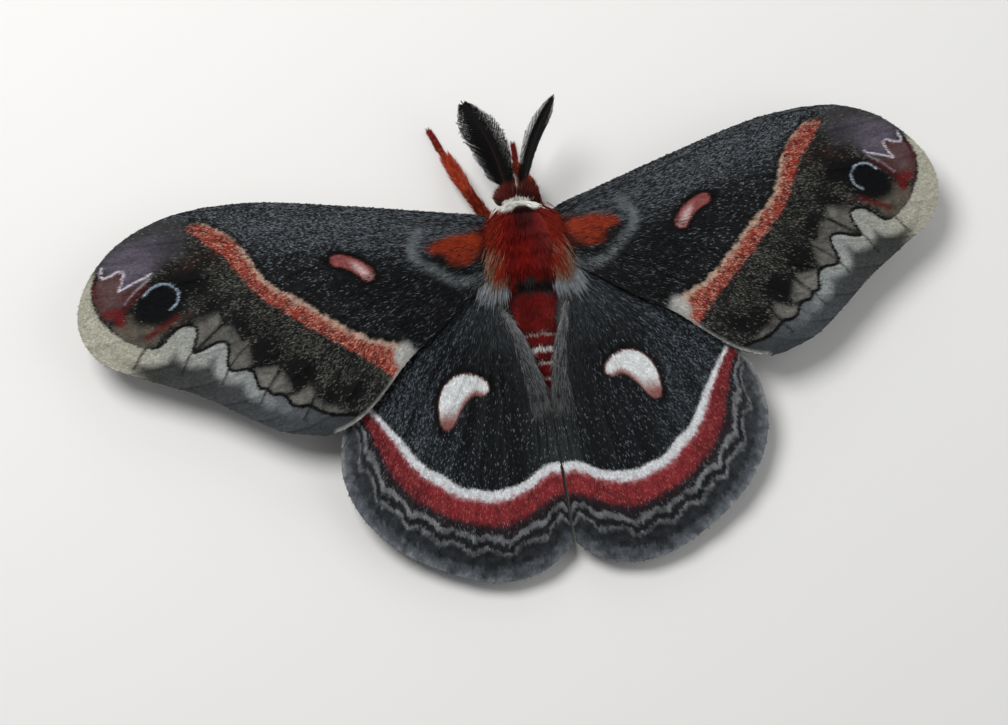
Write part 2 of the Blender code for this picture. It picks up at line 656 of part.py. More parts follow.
def make_antenna(side):
    sign = -1.0 if side == "left" else 1.0
    x = sign * ANTENNA_ROOT[0]
    y = ANTENNA_ROOT[1]
    root = np.array((x, y, top_height(HEAD_SECTIONS, x, y) + GAP))
    tip = np.array(ANTENNA_TIP[side])
    middle = (root + tip) / 2 + np.array((-sign * ANTENNA_ARCH, 0.0, 0.5 * ANTENNA_ARCH))
    shaft = smooth_path([root, middle, tip], 60)
    rings = []
    sides = 8
    for share in (0.0, 0.06, 0.2, 0.4, 0.6, 0.8, 0.92, 1.0):
        point = at(shaft, share)
        ahead = at(shaft, min(1.0, share + 0.05)) - at(shaft, max(0.0, share - 0.05))
        ahead = ahead / np.linalg.norm(ahead)
        across = np.cross(ahead, (0.0, 0.0, 1.0))
        across = across / np.linalg.norm(across)
        upright = np.cross(across, ahead)
        size = SHAFT_RADIUS[0] + (SHAFT_RADIUS[1] - SHAFT_RADIUS[0]) * share
        rings.append([point + size * (across * math.cos(2 * math.pi * k / sides)
                                      + upright * math.sin(2 * math.pi * k / sides))
                      for k in range(sides)])
    core = loft("antenna_" + side, rings, "antenna")
    branches = []
    for pair in range(BRANCH_PAIRS):
        share = BRANCHES_START + BRANCHES_SPAN * pair / (BRANCH_PAIRS - 1)
        point = at(shaft, share)
        ahead = at(shaft, min(1.0, share + 0.05)) - at(shaft, max(0.0, share - 0.05))
        ahead = Vector(ahead).normalized()
        across = ahead.cross(Vector((0.0, 0.0, 1.0))).normalized()
        twist = math.radians(ANTENNA_TWIST[side])
        upright = across.cross(ahead)
        comb = across * math.cos(twist) + upright * math.sin(twist)
        fullness = math.sin(math.pi * (COMB_SHAPE[0] + COMB_SHAPE[1] * share)) ** COMB_SHAPE[2]
        for which, way in (("outer", sign), ("inner", -sign)):
            direction = np.array(comb) * way + np.array(ahead) * BRANCH_SWEEP
            direction = direction / np.linalg.norm(direction)
            branches.append(branch(point, direction, np.array(ahead),
                                   BRANCH_LENGTH[which] * fullness, BRANCH_RADIUS))
    return combine(core, branches)


def tube(name, points, radii, slot, sides=8):
    rings = []
    for i, point in enumerate(points):
        ahead = points[min(i + 1, len(points) - 1)] - points[max(i - 1, 0)]
        ahead = ahead / np.linalg.norm(ahead)
        across = np.cross(ahead, (0.0, 0.0, 1.0))
        across = across / np.linalg.norm(across)
        upright = np.cross(across, ahead)
        ring = []
        for k in range(sides):
            turn = 2 * math.pi * (k + 0.5) / sides
            spot = point + radii[i] * (across * math.cos(turn) + upright * math.sin(turn))
            ring.append((spot[0], spot[1], max(spot[2], 0.0)))
        rings.append(ring)
    return loft(name, rings, slot)


def make_leg(name, joints):
    """A leg from the thorax's underside to a foot that lies flat on the floor."""
    hip, turn, knee, ankle, toe = joints
    sizes = LEG_RADIUS
    skin = top_height(THORAX_SECTIONS, abs(hip[0]) - sizes["hip"], hip[1], -1.0)
    start = np.array((*hip, skin - GAP))
    stops = [start, np.array(turn), np.array(knee), np.array(ankle), np.array((*toe, FOOT_HEIGHT))]
    below = start + (stops[1] - start) * 0.35
    below[2] = start[2] - HIP_DROP
    points = [start, below, stops[1]]
    radii = [sizes["hip"], sizes["hip"], sizes["hip"] * 0.95]
    for share in (0.35, 0.8):
        points.append(stops[1] + (stops[2] - stops[1]) * share)
        radii.append(sizes["thigh"])
    points.append(stops[2])
    radii.append(sizes["knee"])
    for share in (0.18, 0.5, 0.85):
        points.append(stops[2] + (stops[3] - stops[2]) * share)
        radii.append(sizes["shin"] * SHIN_FUR.get(name, 1.0) * (1.0 - 0.35 * share))
    points.append(stops[3])
    radii.append(sizes["ankle"])
    floor_start = stops[3] + (stops[4] - stops[3]) * 0.22
    floor_start[2] = FOOT_HEIGHT + 0.05
    for number in range(TOE_JOINTS):
        for share in (0.25, 0.9):
            along = (number + share) / TOE_JOINTS
            points.append(floor_start + (stops[4] - floor_start) * along)
            slim = sizes["toe"] * (1.0 - 0.25 * along)
            radii.append(slim if share < 0.5 else slim * 0.82)
    return tube(name, points, radii, "leg")


def centre_on_floor(pieces):
    """Hangs every piece on one empty, moved so that the moth's box stands on the origin."""
    root = bpy.data.objects.new("moth", None)
    bpy.context.scene.collection.objects.link(root)
    corners = np.array([v.co for piece in pieces for v in piece.data.vertices])
    low = corners.min(axis=0)
    high = corners.max(axis=0)
    root.location = (-(low[0] + high[0]) / 2, -(low[1] + high[1]) / 2, -low[2])
    for piece in pieces:
        piece.parent = root
    print("moved by", [round(c / MM, 3) for c in root.location], "mm")


def main():
    clear_scene()
    rng = random.Random(7)
    make_head()
    make_collar(rng)
    make_thorax(rng)
    make_abdomen()
    make_wings()
    for side in ("left", "right"):
        make_antenna(side)
    for name, joints in LEGS.items():
        make_leg(name, joints)
    pieces = [o for o in bpy.context.scene.objects if o.type == "MESH"]
    centre_on_floor(pieces)
    for piece in sorted(pieces, key=lambda o: o.name):
        triangles = sum(len(p.vertices) - 2 for p in piece.data.polygons)
        print(piece.name, triangles, "triangles")


main()
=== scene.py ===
# %% [markdown]
# # A cecropia moth, life size
# This script dresses a packed moth: thin wings with their markings, a furred body, feathered
# antennae and jointed legs. Every size is in millimetres, as insects are measured, in the moth's
# own frame: +Y is where the head points, +X is its right side, +Z is up, and the floor under the
# middle of the thorax is zero. A mesh turns them to metres only when it is made.

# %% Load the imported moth
import math

import bpy
import numpy as np
from mathutils import Matrix, Vector


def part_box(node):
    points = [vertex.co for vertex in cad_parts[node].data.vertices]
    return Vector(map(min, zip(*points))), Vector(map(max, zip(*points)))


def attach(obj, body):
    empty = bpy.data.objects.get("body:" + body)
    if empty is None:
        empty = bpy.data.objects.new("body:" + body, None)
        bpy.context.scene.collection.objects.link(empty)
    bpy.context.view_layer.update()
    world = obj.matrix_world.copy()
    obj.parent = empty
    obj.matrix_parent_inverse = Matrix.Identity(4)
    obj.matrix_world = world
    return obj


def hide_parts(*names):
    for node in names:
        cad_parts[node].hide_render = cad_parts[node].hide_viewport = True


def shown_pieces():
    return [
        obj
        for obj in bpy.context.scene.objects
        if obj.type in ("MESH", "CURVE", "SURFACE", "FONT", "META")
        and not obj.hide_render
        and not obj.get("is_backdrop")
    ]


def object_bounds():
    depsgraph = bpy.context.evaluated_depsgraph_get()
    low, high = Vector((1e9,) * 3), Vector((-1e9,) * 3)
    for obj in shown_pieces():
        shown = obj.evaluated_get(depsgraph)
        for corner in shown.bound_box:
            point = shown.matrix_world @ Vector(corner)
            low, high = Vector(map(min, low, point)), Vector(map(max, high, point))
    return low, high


MM = 0.001
EYE_CENTRE = np.array((2.15, 8.75, 7.1))
EYE_RADII = np.array((1.05, 1.2, 1.35))

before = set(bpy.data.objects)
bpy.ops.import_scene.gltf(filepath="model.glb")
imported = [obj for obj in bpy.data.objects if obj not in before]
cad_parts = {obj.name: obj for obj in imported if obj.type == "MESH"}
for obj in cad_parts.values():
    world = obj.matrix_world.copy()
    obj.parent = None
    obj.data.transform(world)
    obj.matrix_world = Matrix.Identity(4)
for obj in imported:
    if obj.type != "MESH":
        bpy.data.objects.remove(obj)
cad_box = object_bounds()


def box_centre(node):
    low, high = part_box(node)
    return (np.array(low) + np.array(high)) / 2 / MM


between_eyes = (box_centre("eye_left") + box_centre("eye_right")) / 2
ORIGIN = between_eyes - EYE_CENTRE * (0.0, 1.0, 1.0)
print("the moth's own zero lies at", ORIGIN.round(3), "mm")


def in_metres(points):
    return (np.asarray(points, float) + ORIGIN) * MM


# %% [markdown]
# ## The camera
# The photograph was taken from above, with the moth turned a little in the frame. A camera can be
# placed by eye, but a still life is matched more closely by a place, a point to look at and a
# roll about the line between them. The roll turns the picture and leaves the moth flat on the
# floor. The long lens keeps the near and far wing at nearly the same size.

# %% Place the camera
CAMERA_PLACE = np.array((-54.26, -96.91, 383.26))
CAMERA_LOOK = np.array((-5.93, -17.03, 8.0))
CAMERA_ROLL = math.radians(-9.572)
CAMERA_LENS = 91.34
SENSOR_WIDTH = 36.0
NEAREST_SEEN = 0.01


def unit(vectors):
    vectors = np.asarray(vectors, float)
    return vectors / np.maximum(np.linalg.norm(vectors, axis=-1, keepdims=True), 1e-12)


def place_camera():
    back = unit(CAMERA_PLACE - CAMERA_LOOK)
    up = unit(np.array((0.0, 1.0, 0.0)) - back * back[1])
    right = np.cross(up, back)
    rolled_right = math.cos(CAMERA_ROLL) * right + math.sin(CAMERA_ROLL) * up
    rolled_up = -math.sin(CAMERA_ROLL) * right + math.cos(CAMERA_ROLL) * up
    turn = Matrix([Vector(v) for v in (rolled_right, rolled_up, back)]).transposed()
    data = bpy.data.cameras.new("camera")
    data.lens = CAMERA_LENS
    data.sensor_width = SENSOR_WIDTH
    data.clip_start = NEAREST_SEEN
    camera = bpy.data.objects.new("camera", data)
    camera.matrix_world = Matrix.Translation(Vector(in_metres(CAMERA_PLACE))) @ turn.to_4x4()
    bpy.context.scene.collection.objects.link(camera)
    bpy.context.scene.camera = camera
    return camera


camera = place_camera()
print("the camera stands", round(camera.location.z, 3), "m above the floor")

# %% [markdown]
# ## Light and floor
# A dark, furry subject needs a large soft light to show its pile, and a pale floor to show its
# outline. The main light stands up and to the left, near the camera, as in the photograph, so the
# wings throw a short soft shadow down and to the right. The plain colour view keeps reds as deep
# as they are painted.

# %% Set the lights and the floor
FLOOR_SIDE = 3.0
FLOOR_TONE = (0.80, 0.79, 0.77, 1.0)
SKY_TONE = (0.94, 0.96, 1.0, 1.0)
SKY_STRENGTH = 0.2
LIGHT_AIM = (0.0, -10.0, 5.0)
# name, place in millimetres, size in metres, power in watts
LIGHTS = [
    ("key_light", (-190.0, 170.0, 420.0), 0.24, 2.0),
    ("fill_light", (330.0, -60.0, 300.0), 0.5, 0.5),
    ("back_light", (40.0, 420.0, 190.0), 0.4, 0.4),
]


def add_light(name, place, size, power):
    data = bpy.data.lights.new(name, "AREA")
    data.shape = "DISK"
    data.size = size
    data.energy = power
    light = bpy.data.objects.new(name, data)
    light.location = in_metres(place)
    aim = Vector(in_metres(LIGHT_AIM)) - light.location
    light.rotation_euler = aim.to_track_quat("-Z", "Y").to_euler()
    bpy.context.scene.collection.objects.link(light)


def add_floor():
    half = FLOOR_SIDE / 2
    mesh = bpy.data.meshes.new("floor")
    mesh.from_pydata([(-half, -half, 0), (half, -half, 0), (half, half, 0), (-half, half, 0)], [],
                     [(0, 1, 2, 3)])
    finish = bpy.data.materials.new("floor")
    finish.use_nodes = True
    surface = finish.node_tree.nodes["Principled BSDF"]
    surface.inputs["Base Color"].default_value = FLOOR_TONE
    surface.inputs["Roughness"].default_value = 0.8
    mesh.materials.append(finish)
    floor = bpy.data.objects.new("floor", mesh)
    bpy.context.scene.collection.objects.link(floor)
    floor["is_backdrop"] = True


def set_world():
    world = bpy.data.worlds.new("pale_room")
    world.use_nodes = True
    sky = world.node_tree.nodes["Background"]
    sky.inputs["Color"].default_value = SKY_TONE
    sky.inputs["Strength"].default_value = SKY_STRENGTH
    bpy.context.scene.world = world


for light in LIGHTS:
    add_light(*light)
add_floor()
set_world()
bpy.context.scene.view_settings.view_transform = "Standard"
print("lights:", [light[0] for light in LIGHTS])

# %% [markdown]
# ## Meshes from arrays
# A wing carries tens of thousands of scales, so the meshes are made from whole arrays of points
# instead of one face at a time. Each point can hold its own colour, which is how the markings are
# painted: a colour attribute needs no picture and follows the mesh wherever it goes. The
# UV map, OFBake, is a flat plan of the surface that a later bake can draw on.

# %% Build a mesh from arrays
PAINT = "paint"


def outward(points, faces):
    """Turns all the faces round if the piece is inside out, which its signed volume tells."""
    centred = points - points.mean(axis=0)
    volume = 0.0
    for corner in range(1, faces.shape[1] - 1):
        a, b, c = centred[faces[:, 0]], centred[faces[:, corner]], centred[faces[:, corner + 1]]
        volume += np.einsum("ij,ij->", a, np.cross(b, c))
    return faces if volume > 0 else np.ascontiguousarray(faces[:, ::-1])


def new_piece(name, points, faces, finish, paint=None, plan=None, smooth=True, seam=None):
    """One piece from points in millimetres, with a colour and a place on the plan for each point.

    A plan that closes into a ring gives its width as the seam, so its last column doesn't run back."""
    faces = outward(points, np.asarray(faces, np.int32))
    corners = faces.shape[1]
    mesh = bpy.data.meshes.new(name)
    mesh.vertices.add(len(points))
    mesh.vertices.foreach_set("co", in_metres(points).astype(np.float32).ravel())
    mesh.loops.add(faces.size)
    mesh.loops.foreach_set("vertex_index", faces.ravel())
    mesh.polygons.add(len(faces))
    mesh.polygons.foreach_set("loop_start", np.arange(0, faces.size, corners, dtype=np.int32))
    mesh.polygons.foreach_set("use_smooth", np.full(len(faces), smooth))
    if paint is not None:
        layer = mesh.color_attributes.new(PAINT, "FLOAT_COLOR", "POINT")
        rgba = np.ones((len(points), 4), np.float32)
        rgba[:, :3] = paint
        layer.data.foreach_set("color", rgba.ravel())
    if plan is not None:
        layer = mesh.uv_layers.new(name="OFBake")
        places = np.asarray(plan, np.float32)[faces.ravel()]
        if seam is not None:
            wrapped = (np.ptp(places[:, 0].reshape(-1, corners), axis=1) > 0.5).repeat(corners)
            places[:, 0] += seam * (wrapped & (places[:, 0] < 0.5))
        layer.data.foreach_set("uv", places.ravel())
    mesh.update(calc_edges=True)
    mesh.validate()
    mesh.materials.append(finish)
    made = bpy.data.objects.new(name, mesh)
    bpy.context.scene.collection.objects.link(made)
    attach(made, "root")
    return made


def coat_piece(name, shape, finish):
    """A piece of loose scales or hairs, from their points, faces, colours and places on the plan."""
    points, faces, colours, places = shape
    return new_piece(name, points, faces, finish, colours, places, False)


def loft(name, rings, finish, paint=None):
    """A closed tube from rings of points, with a point in the middle of each end."""
    points, faces = loft_arrays(rings)
    if paint is not None:
        paint = np.vstack([np.repeat(paint, rings.shape[1], axis=0), paint[:1], paint[-1:]])
    return new_piece(name, points, faces, finish, paint)


def loft_arrays(rings):
    count, sides = rings.shape[:2]
    index = np.arange(count * sides).reshape(count, sides)
    following = np.roll(index, -1, axis=1)
    a, b, c, d = index[:-1], following[:-1], following[1:], index[1:]
    faces = [np.stack([a, d, c], axis=-1).reshape(-1, 3), np.stack([a, c, b], axis=-1).reshape(-1, 3)]
    first, last = count * sides, count * sides + 1
    faces.append(np.stack([np.full(sides, first), index[0], following[0]], axis=-1))
    faces.append(np.stack([np.full(sides, last), following[-1], index[-1]], axis=-1))
    points = np.vstack([rings.reshape(-1, 3), rings[0].mean(axis=0), rings[-1].mean(axis=0)])
    return points, np.vstack(faces)


# %% [markdown]
# ## Colours and mottling
# Colours are written as the eye sees them on a screen, 0 to 255, and turned to the amounts of
# light that a shader works with. A mottle is smooth random variation: random values on a square
# lattice, blended between its corners. It breaks up every flat field, as worn scales do.

# %% Name the colours
HASH_FACTORS = (374761393, 668265263, 2147483647, 1274126177)


def tone(red, green, blue):
    seen = np.array((red, green, blue), float) / 255
    return np.where(seen <= 0.04045, seen / 12.92, ((seen + 0.055) / 1.055) ** 2.4)


def lattice_value(column, row, seed):
    by_column, by_row, by_seed, by_mixing = HASH_FACTORS
    mixed = (column * by_column + row * by_row + seed * by_seed) & 0xFFFFFFFF
    mixed = ((mixed ^ (mixed >> 13)) * by_mixing) & 0xFFFFFFFF
    return ((mixed ^ (mixed >> 16)) & 0xFFFF) / 65535.0


def mottle(x, y, size, seed):
    """Smooth random values from 0 to 1, with soft spots about this many millimetres across."""
    column = np.floor(x / size).astype(np.int64)
    row = np.floor(y / size).astype(np.int64)
    across = x / size - column
    along = y / size - row
    across = across * across * (3 - 2 * across)
    along = along * along * (3 - 2 * along)
    near, far = (lattice_value(column, row + k, seed) * (1 - across)
                 + lattice_value(column + 1, row + k, seed) * across for k in (0, 1))
    return near * (1 - along) + far * along


def mix(under, over, share):
    return under + (over - under) * np.asarray(share)[..., None]


def layered(paint, *layers):
    """Lays each colour over the paint in turn, as strongly as the mask beside it says."""
    for colour, mask in layers:
        paint = mix(paint, colour, mask)
    return paint


def fade(value, start, end):
    """0 before start and 1 after end, easing between them; start may be the larger."""
    share = np.clip((value - start) / (end - start), 0, 1)
    return share * share * (3 - 2 * share)


def between(where, places, table):
    """The rows of a table, blended wherever a place lies between those the rows stand for."""
    table = np.asarray(table)
    return np.stack([np.interp(where, places, table[:, k]) for k in range(table.shape[1])], axis=-1)


# %% [markdown]
# ## Drawing on a wing
# A wing marking is a shape in millimetres on the flat wing: a line with a width, a closed outline
# or an oval. Each drawing helper measures how far every point is from the shape and turns the
# distance into a soft-edged mask, so an edge is as crisp or as fuzzy as its scales are.

# %% Measure distances on the wing
def partway(t, start, end, p, q):
    """What lies between p and q at t, when p belongs to the start and q to the end."""
    return (end - t) / (end - start) * p + (t - start) / (end - start) * q


def smooth_path(points, count=120):
    """Points evenly spaced along a smooth curve that passes through the given ones."""
    knots = np.array(points, float)
    ends = np.vstack([2 * knots[0] - knots[1], knots, 2 * knots[-1] - knots[-2]])
    time = np.concatenate([[0.0], np.cumsum(np.sqrt(np.linalg.norm(np.diff(ends, axis=0), axis=1)))])
    fine = []
    for i in range(1, len(ends) - 2):
        p0, p1, p2, p3 = ends[i - 1:i + 3]
        t0, t1, t2, t3 = time[i - 1:i + 3]
        t = np.linspace(t1, t2, 16, endpoint=False)[:, None]
        a1 = partway(t, t0, t1, p0, p1)
        a2 = partway(t, t1, t2, p1, p2)
        a3 = partway(t, t2, t3, p2, p3)
        b1 = partway(t, t0, t2, a1, a2)
        b2 = partway(t, t1, t3, a2, a3)
        fine.append(partway(t, t1, t2, b1, b2))
    fine = np.vstack(fine + [knots[-1:]])
    lengths = np.concatenate([[0.0], np.cumsum(np.linalg.norm(np.diff(fine, axis=0), axis=1))])
    return between(np.linspace(0.0, lengths[-1], count), lengths, fine)


def at(line, share):
    """The points at these shares of the way along an evenly spaced line."""
    return between(share, np.linspace(0.0, 1.0, len(line)), line)


def from_line(x, y, points):
    """Distance to a line of points, share of the way along it, and 1 or -1 for its two sides."""
    line = np.asarray(points, float)
    best = np.full(x.shape, 1e9)
    along = np.zeros(x.shape)
    side = np.ones(x.shape)
    steps = np.linalg.norm(np.diff(line, axis=0), axis=1)
    start = 0.0
    for a, b, step in zip(line[:-1], line[1:], steps):
        run = b - a
        share = np.clip(((x - a[0]) * run[0] + (y - a[1]) * run[1]) / (step * step), 0, 1)
        off_x = x - a[0] - share * run[0]
        off_y = y - a[1] - share * run[1]
        away = np.hypot(off_x, off_y)
        nearer = away < best
        best = np.where(nearer, away, best)
        along = np.where(nearer, start + share * step, along)
        side = np.where(nearer, np.sign(run[0] * off_y - run[1] * off_x), side)
        start += step
    return best, along / start, side


def near_shape(x, y, points, reach):
    """Which places are close enough to a shape to be worth measuring."""
    line = np.asarray(points, float)
    low = line.min(axis=0) - reach
    high = line.max(axis=0) + reach
    return (x > low[0]) & (x < high[0]) & (y > low[1]) & (y < high[1])


def inside_outline(x, y, points):
    inside = np.zeros(x.shape, bool)
    line = np.asarray(points, float)
    for a, b in zip(line, np.roll(line, -1, axis=0)):
        crosses = (a[1] > y) != (b[1] > y)
        rise = b[1] - a[1] if b[1] != a[1] else 1e-9
        inside ^= crosses & (x < a[0] + (y - a[1]) * (b[0] - a[0]) / rise)
    return inside


def patch(x, y, points, softness, rounded=True):
    """A mask for a closed outline: 1 inside, 0 outside, with an edge this soft."""
    outline = smooth_path(list(points) + [points[0]], 6 * len(points)) if rounded else np.array(points)
    mask = np.zeros(x.shape)
    near = near_shape(x, y, outline, softness)
    away = from_line(x[near], y[near], np.vstack([outline, outline[:1]]))[0]
    away = np.where(inside_outline(x[near], y[near], outline), -away, away)
    mask[near] = fade(away, softness / 2, -softness / 2)
    return mask


def stroke(x, y, points, width, softness, rounded=True):
    """A mask for a line this wide. The width may be two numbers, for its two ends."""
    line = smooth_path(points, 5 * len(points)) if rounded else np.array(points, float)
    mask = np.zeros(x.shape)
    near = near_shape(x, y, line, np.max(width) + softness)
    away, along, _ = from_line(x[near], y[near], line)
    half = np.interp(along, (0, 1), np.broadcast_to(width, 2)) / 2
    mask[near] = fade(away - half, softness / 2, -softness / 2)
    return mask


def oval(x, y, centre, radii, turn=0.0, softness=0.3):
    angle = math.radians(turn)
    dx = x - centre[0]
    dy = y - centre[1]
    along = (dx * math.cos(angle) + dy * math.sin(angle)) / radii[0]
    across = (-dx * math.sin(angle) + dy * math.cos(angle)) / radii[1]
    away = (np.hypot(along, across) - 1) * min(radii)
    return fade(away, softness / 2, -softness / 2)


# %% [markdown]
# ## The plan of a wing
# Each wing is drawn once, flat, as the right one. Its surface is a Coons patch: a sheet stretched
# between four edges, so that one number runs from the front edge to the rear and the other from
# the hinge to the margin. Veins, scales and hairs follow these two directions, as they do in life.
# A left wing is the same drawing carried across, and each is turned a little about its hinge.

# %% Draw the wings' edges and veins
FOREWING = {
    "front": [(4.3, 4.6), (6.5, 5.7), (12.0, 7.2), (24.0, 10.5), (39.0, 14.1), (47.3, 14.85)],
    "margin": [
        (47.3, 14.85), (53.6, 14.2), (59.5, 11.6), (64.6, 6.5), (66.9, 0.3), (65.0, -5.4),
        (58.0, -10.2), (52.5, -13.4), (47.4, -17.2), (41.8, -21.0), (36.0, -22.85),
    ],
    "rear": [
        (4.3, -2.6), (8.6, -5.3), (13.6, -9.2), (20.8, -14.1), (25.0, -18.0), (29.0, -21.2),
        (33.2, -22.85), (36.0, -22.85),
    ],
    "hinge": (5.5, 2.5),
    "swing": math.radians(2.45),
    # name, share across the margin, share across the stem, where it leaves the stem
    "veins": [
        ("subcosta", 0.045, 0.10, 0.0), ("radius_3", 0.20, 0.20, 0.30),
        ("radius_4", 0.335, 0.25, 0.0), ("radius_5", 0.45, 0.30, 0.34),
        ("media_1", 0.56, 0.35, 0.40), ("media_2", 0.67, 0.62, 0.42),
        ("media_3", 0.765, 0.67, 0.38), ("cubitus_1", 0.85, 0.72, 0.0),
        ("cubitus_2", 0.92, 0.77, 0.30),
    ],
}
HINDWING = {
    "front": [(4.3, -2.6), (12.0, -4.4), (19.5, -8.6), (25.6, -14.3), (29.5, -19.7), (31.9, -23.0)],
    "margin": [
        (31.9, -23.0), (33.0, -29.7), (31.3, -36.1), (27.2, -41.6), (21.0, -46.0), (13.9, -49.1),
        (9.3, -49.5), (5.0, -48.6), (1.8, -46.7), (0.2, -45.2),
    ],
    "rear": [
        (4.2, -5.3), (5.3, -7.6), (4.0, -10.5), (2.5, -13.8), (1.5, -16.6), (0.7, -20.0),
        (0.2, -22.6), (0.2, -34.0), (0.2, -45.2),
    ],
    "hinge": (5.5, -3.0),
    "swing": math.radians(1.0),
    "veins": [
        ("subcosta", 0.06, 0.12, 0.0), ("radius", 0.19, 0.24, 0.0), ("media_1", 0.31, 0.31, 0.34),
        ("media_2", 0.43, 0.50, 0.38), ("media_3", 0.54, 0.56, 0.34), ("cubitus_1", 0.65, 0.62, 0.0),
        ("cubitus_2", 0.77, 0.68, 0.30), ("anal_2", 0.90, 0.86, 0.0),
    ],
}
TIP_REACH = {"left": 1.7, "right": -0.5}  # the left tip is a little longer than the right
TIP_REACH_SPAN = (48.0, 67.0)
for plan in (FOREWING, HINDWING):
    plan["front_line"] = smooth_path(plan["front"], 300)
    plan["rear_line"] = smooth_path(plan["rear"], 300)
    plan["margin_line"] = smooth_path(plan["margin"], 300)


def on_wing(plan, u, v):
    """The place on the flat right wing, u from front edge to rear and v from hinge to margin."""
    u = np.asarray(u, float)[..., None]
    v = np.asarray(v, float)[..., None]
    front = at(plan["front_line"], v[..., 0])
    rear = at(plan["rear_line"], v[..., 0])
    margin = at(plan["margin_line"], u[..., 0])
    first = plan["front_line"][0]
    last = plan["rear_line"][0]
    root = first * (1 - u) + last * u
    corners = ((1 - u) * (1 - v) * first + u * (1 - v) * last
               + (1 - u) * v * plan["margin_line"][0] + u * v * plan["margin_line"][-1])
    return (1 - u) * front + u * rear + (1 - v) * root + v * margin - corners


def carried(plan, side, x, y):
    """A place on the flat right wing, carried to its side and turned about its hinge."""
    sign = 1.0 if side == "right" else -1.0
    reach = TIP_REACH[side] * fade(x, *TIP_REACH_SPAN)
    dx = sign * (x + reach - plan["hinge"][0])
    dy = y - plan["hinge"][1]
    cos, sin = math.cos(plan["swing"]), math.sin(plan["swing"])
    return sign * plan["hinge"][0] + dx * cos - dy * sin, plan["hinge"][1] + dx * sin + dy * cos


# %% [markdown]
# ## How high a wing lies
# A resting wing isn't a flat card. The forewing slopes gently down to its tip, and the hindwing
# down to the rear, with a rise where its inner edge lies over the abdomen. Veins stand up as
# ridges and the membrane sinks between them. These heights come from a few short formulas, so the
# scales can be rooted on exactly the same surface later.

# %% Give the wings their height
ABDOMEN_SHAPE = np.array([
    (-5.9, 6.9, 4.6, 3.7), (-8.5, 6.1, 5.1, 4.2), (-12.0, 5.2, 4.6, 3.9), (-15.0, 4.4, 3.9, 3.6),
    (-18.0, 3.7, 3.2, 3.2), (-21.0, 3.0, 2.4, 2.6), (-23.2, 2.5, 1.5, 1.7), (-24.3, 2.3, 0.7, 0.9),
])[::-1]
WING_CLEARANCE = 0.62
WING_EASE = 0.5  # how softly the wing rises from its own slope onto the abdomen
VEIN_HEIGHT = 0.17
VEIN_HALF_WIDTH = 0.26
PLEAT_DEPTH = 0.16


def forewing_height(x, y):
    return 10.6 - 0.045 * np.maximum(x - 5.0, 0.0) + 0.06 * np.minimum(y, 0.0)


def section_at(sections, y):
    """The middle height, half width and half height of the body at places along it."""
    return (np.interp(y, sections[:, 0], sections[:, k]) for k in (1, 2, 3))


def hindwing_height(x, y):
    free = 8.9 + 0.125 * np.minimum(y + 3.0, 0.0)
    middle, wide, high = section_at(ABDOMEN_SHAPE, y)
    arch = np.sqrt(np.clip(1.0 - (x / wide) ** 2, 0.0, 1.0))
    over = np.where((y < ABDOMEN_SHAPE[0, 0]) | (np.abs(x) >= wide), middle - high,
                    middle + high * arch + WING_CLEARANCE)
    return WING_EASE * np.logaddexp(free / WING_EASE, over / WING_EASE)


FOREWING["height"] = forewing_height
HINDWING["height"] = hindwing_height


def vein_shares(plan, v):
    """Where each vein runs across the wing, at these shares of the way to the margin."""
    ease = fade(v, 0.18, 0.80)
    return [(stem + (end - stem) * ease, leaves) for _, end, stem, leaves in plan["veins"]]


def vein_relief(plan, u, v):
    """How far the skin stands above or below the wing's middle sheet, from veins and pleats."""
    width = np.linalg.norm(on_wing(plan, np.ones_like(v), v) - on_wing(plan, np.zeros_like(v), v),
                           axis=-1)
    nearest = np.full(u.shape, 1e9)
    for share, leaves in vein_shares(plan, v):
        away = np.where(v >= leaves, np.abs(u - share) * width, 1e9)
        nearest = np.minimum(nearest, away)
    ridge = VEIN_HEIGHT * np.exp(-(nearest / VEIN_HALF_WIDTH) ** 2)
    pleat = PLEAT_DEPTH * (1 - np.exp(-(nearest / 1.6) ** 2)) * fade(v, 0.05, 0.4)
    costa = 0.16 * np.exp(-((u * width) / 0.55) ** 2)
    ripple = 0.10 * (mottle(u * 14, v * 9, 1.0, 3) - 0.5)
    return ridge - pleat + costa + ripple


def wing_place(plan, side, u, v, lift):
    """Points in the moth's frame on a wing's skin, this far above its middle sheet."""
    flat = on_wing(plan, u, v)
    x, y = flat[..., 0], flat[..., 1]
    px, py = carried(plan, side, x, y)
    return np.stack([px, py, plan["height"](x, y) + vein_relief(plan, u, v) + lift], axis=-1)


middle_share = np.array(0.5)
print("forewing middle:", wing_place(FOREWING, "right", middle_share, middle_share, 0.0).round(2))

# %% [markdown]
# ## The forewing's markings
# From the hinge outwards a cecropia's forewing has an orange-red patch ringed by a grey arc, a
# pinkish spot rimmed in black, a long band that is white on its inner side and red on its outer,
# then an eyespot, a pale zigzag and a cream margin behind a wavy black line. Each is a named shape
# in millimetres on the flat wing. Painting goes from the ground up, and each layer covers the
# last one only where its mask says so.

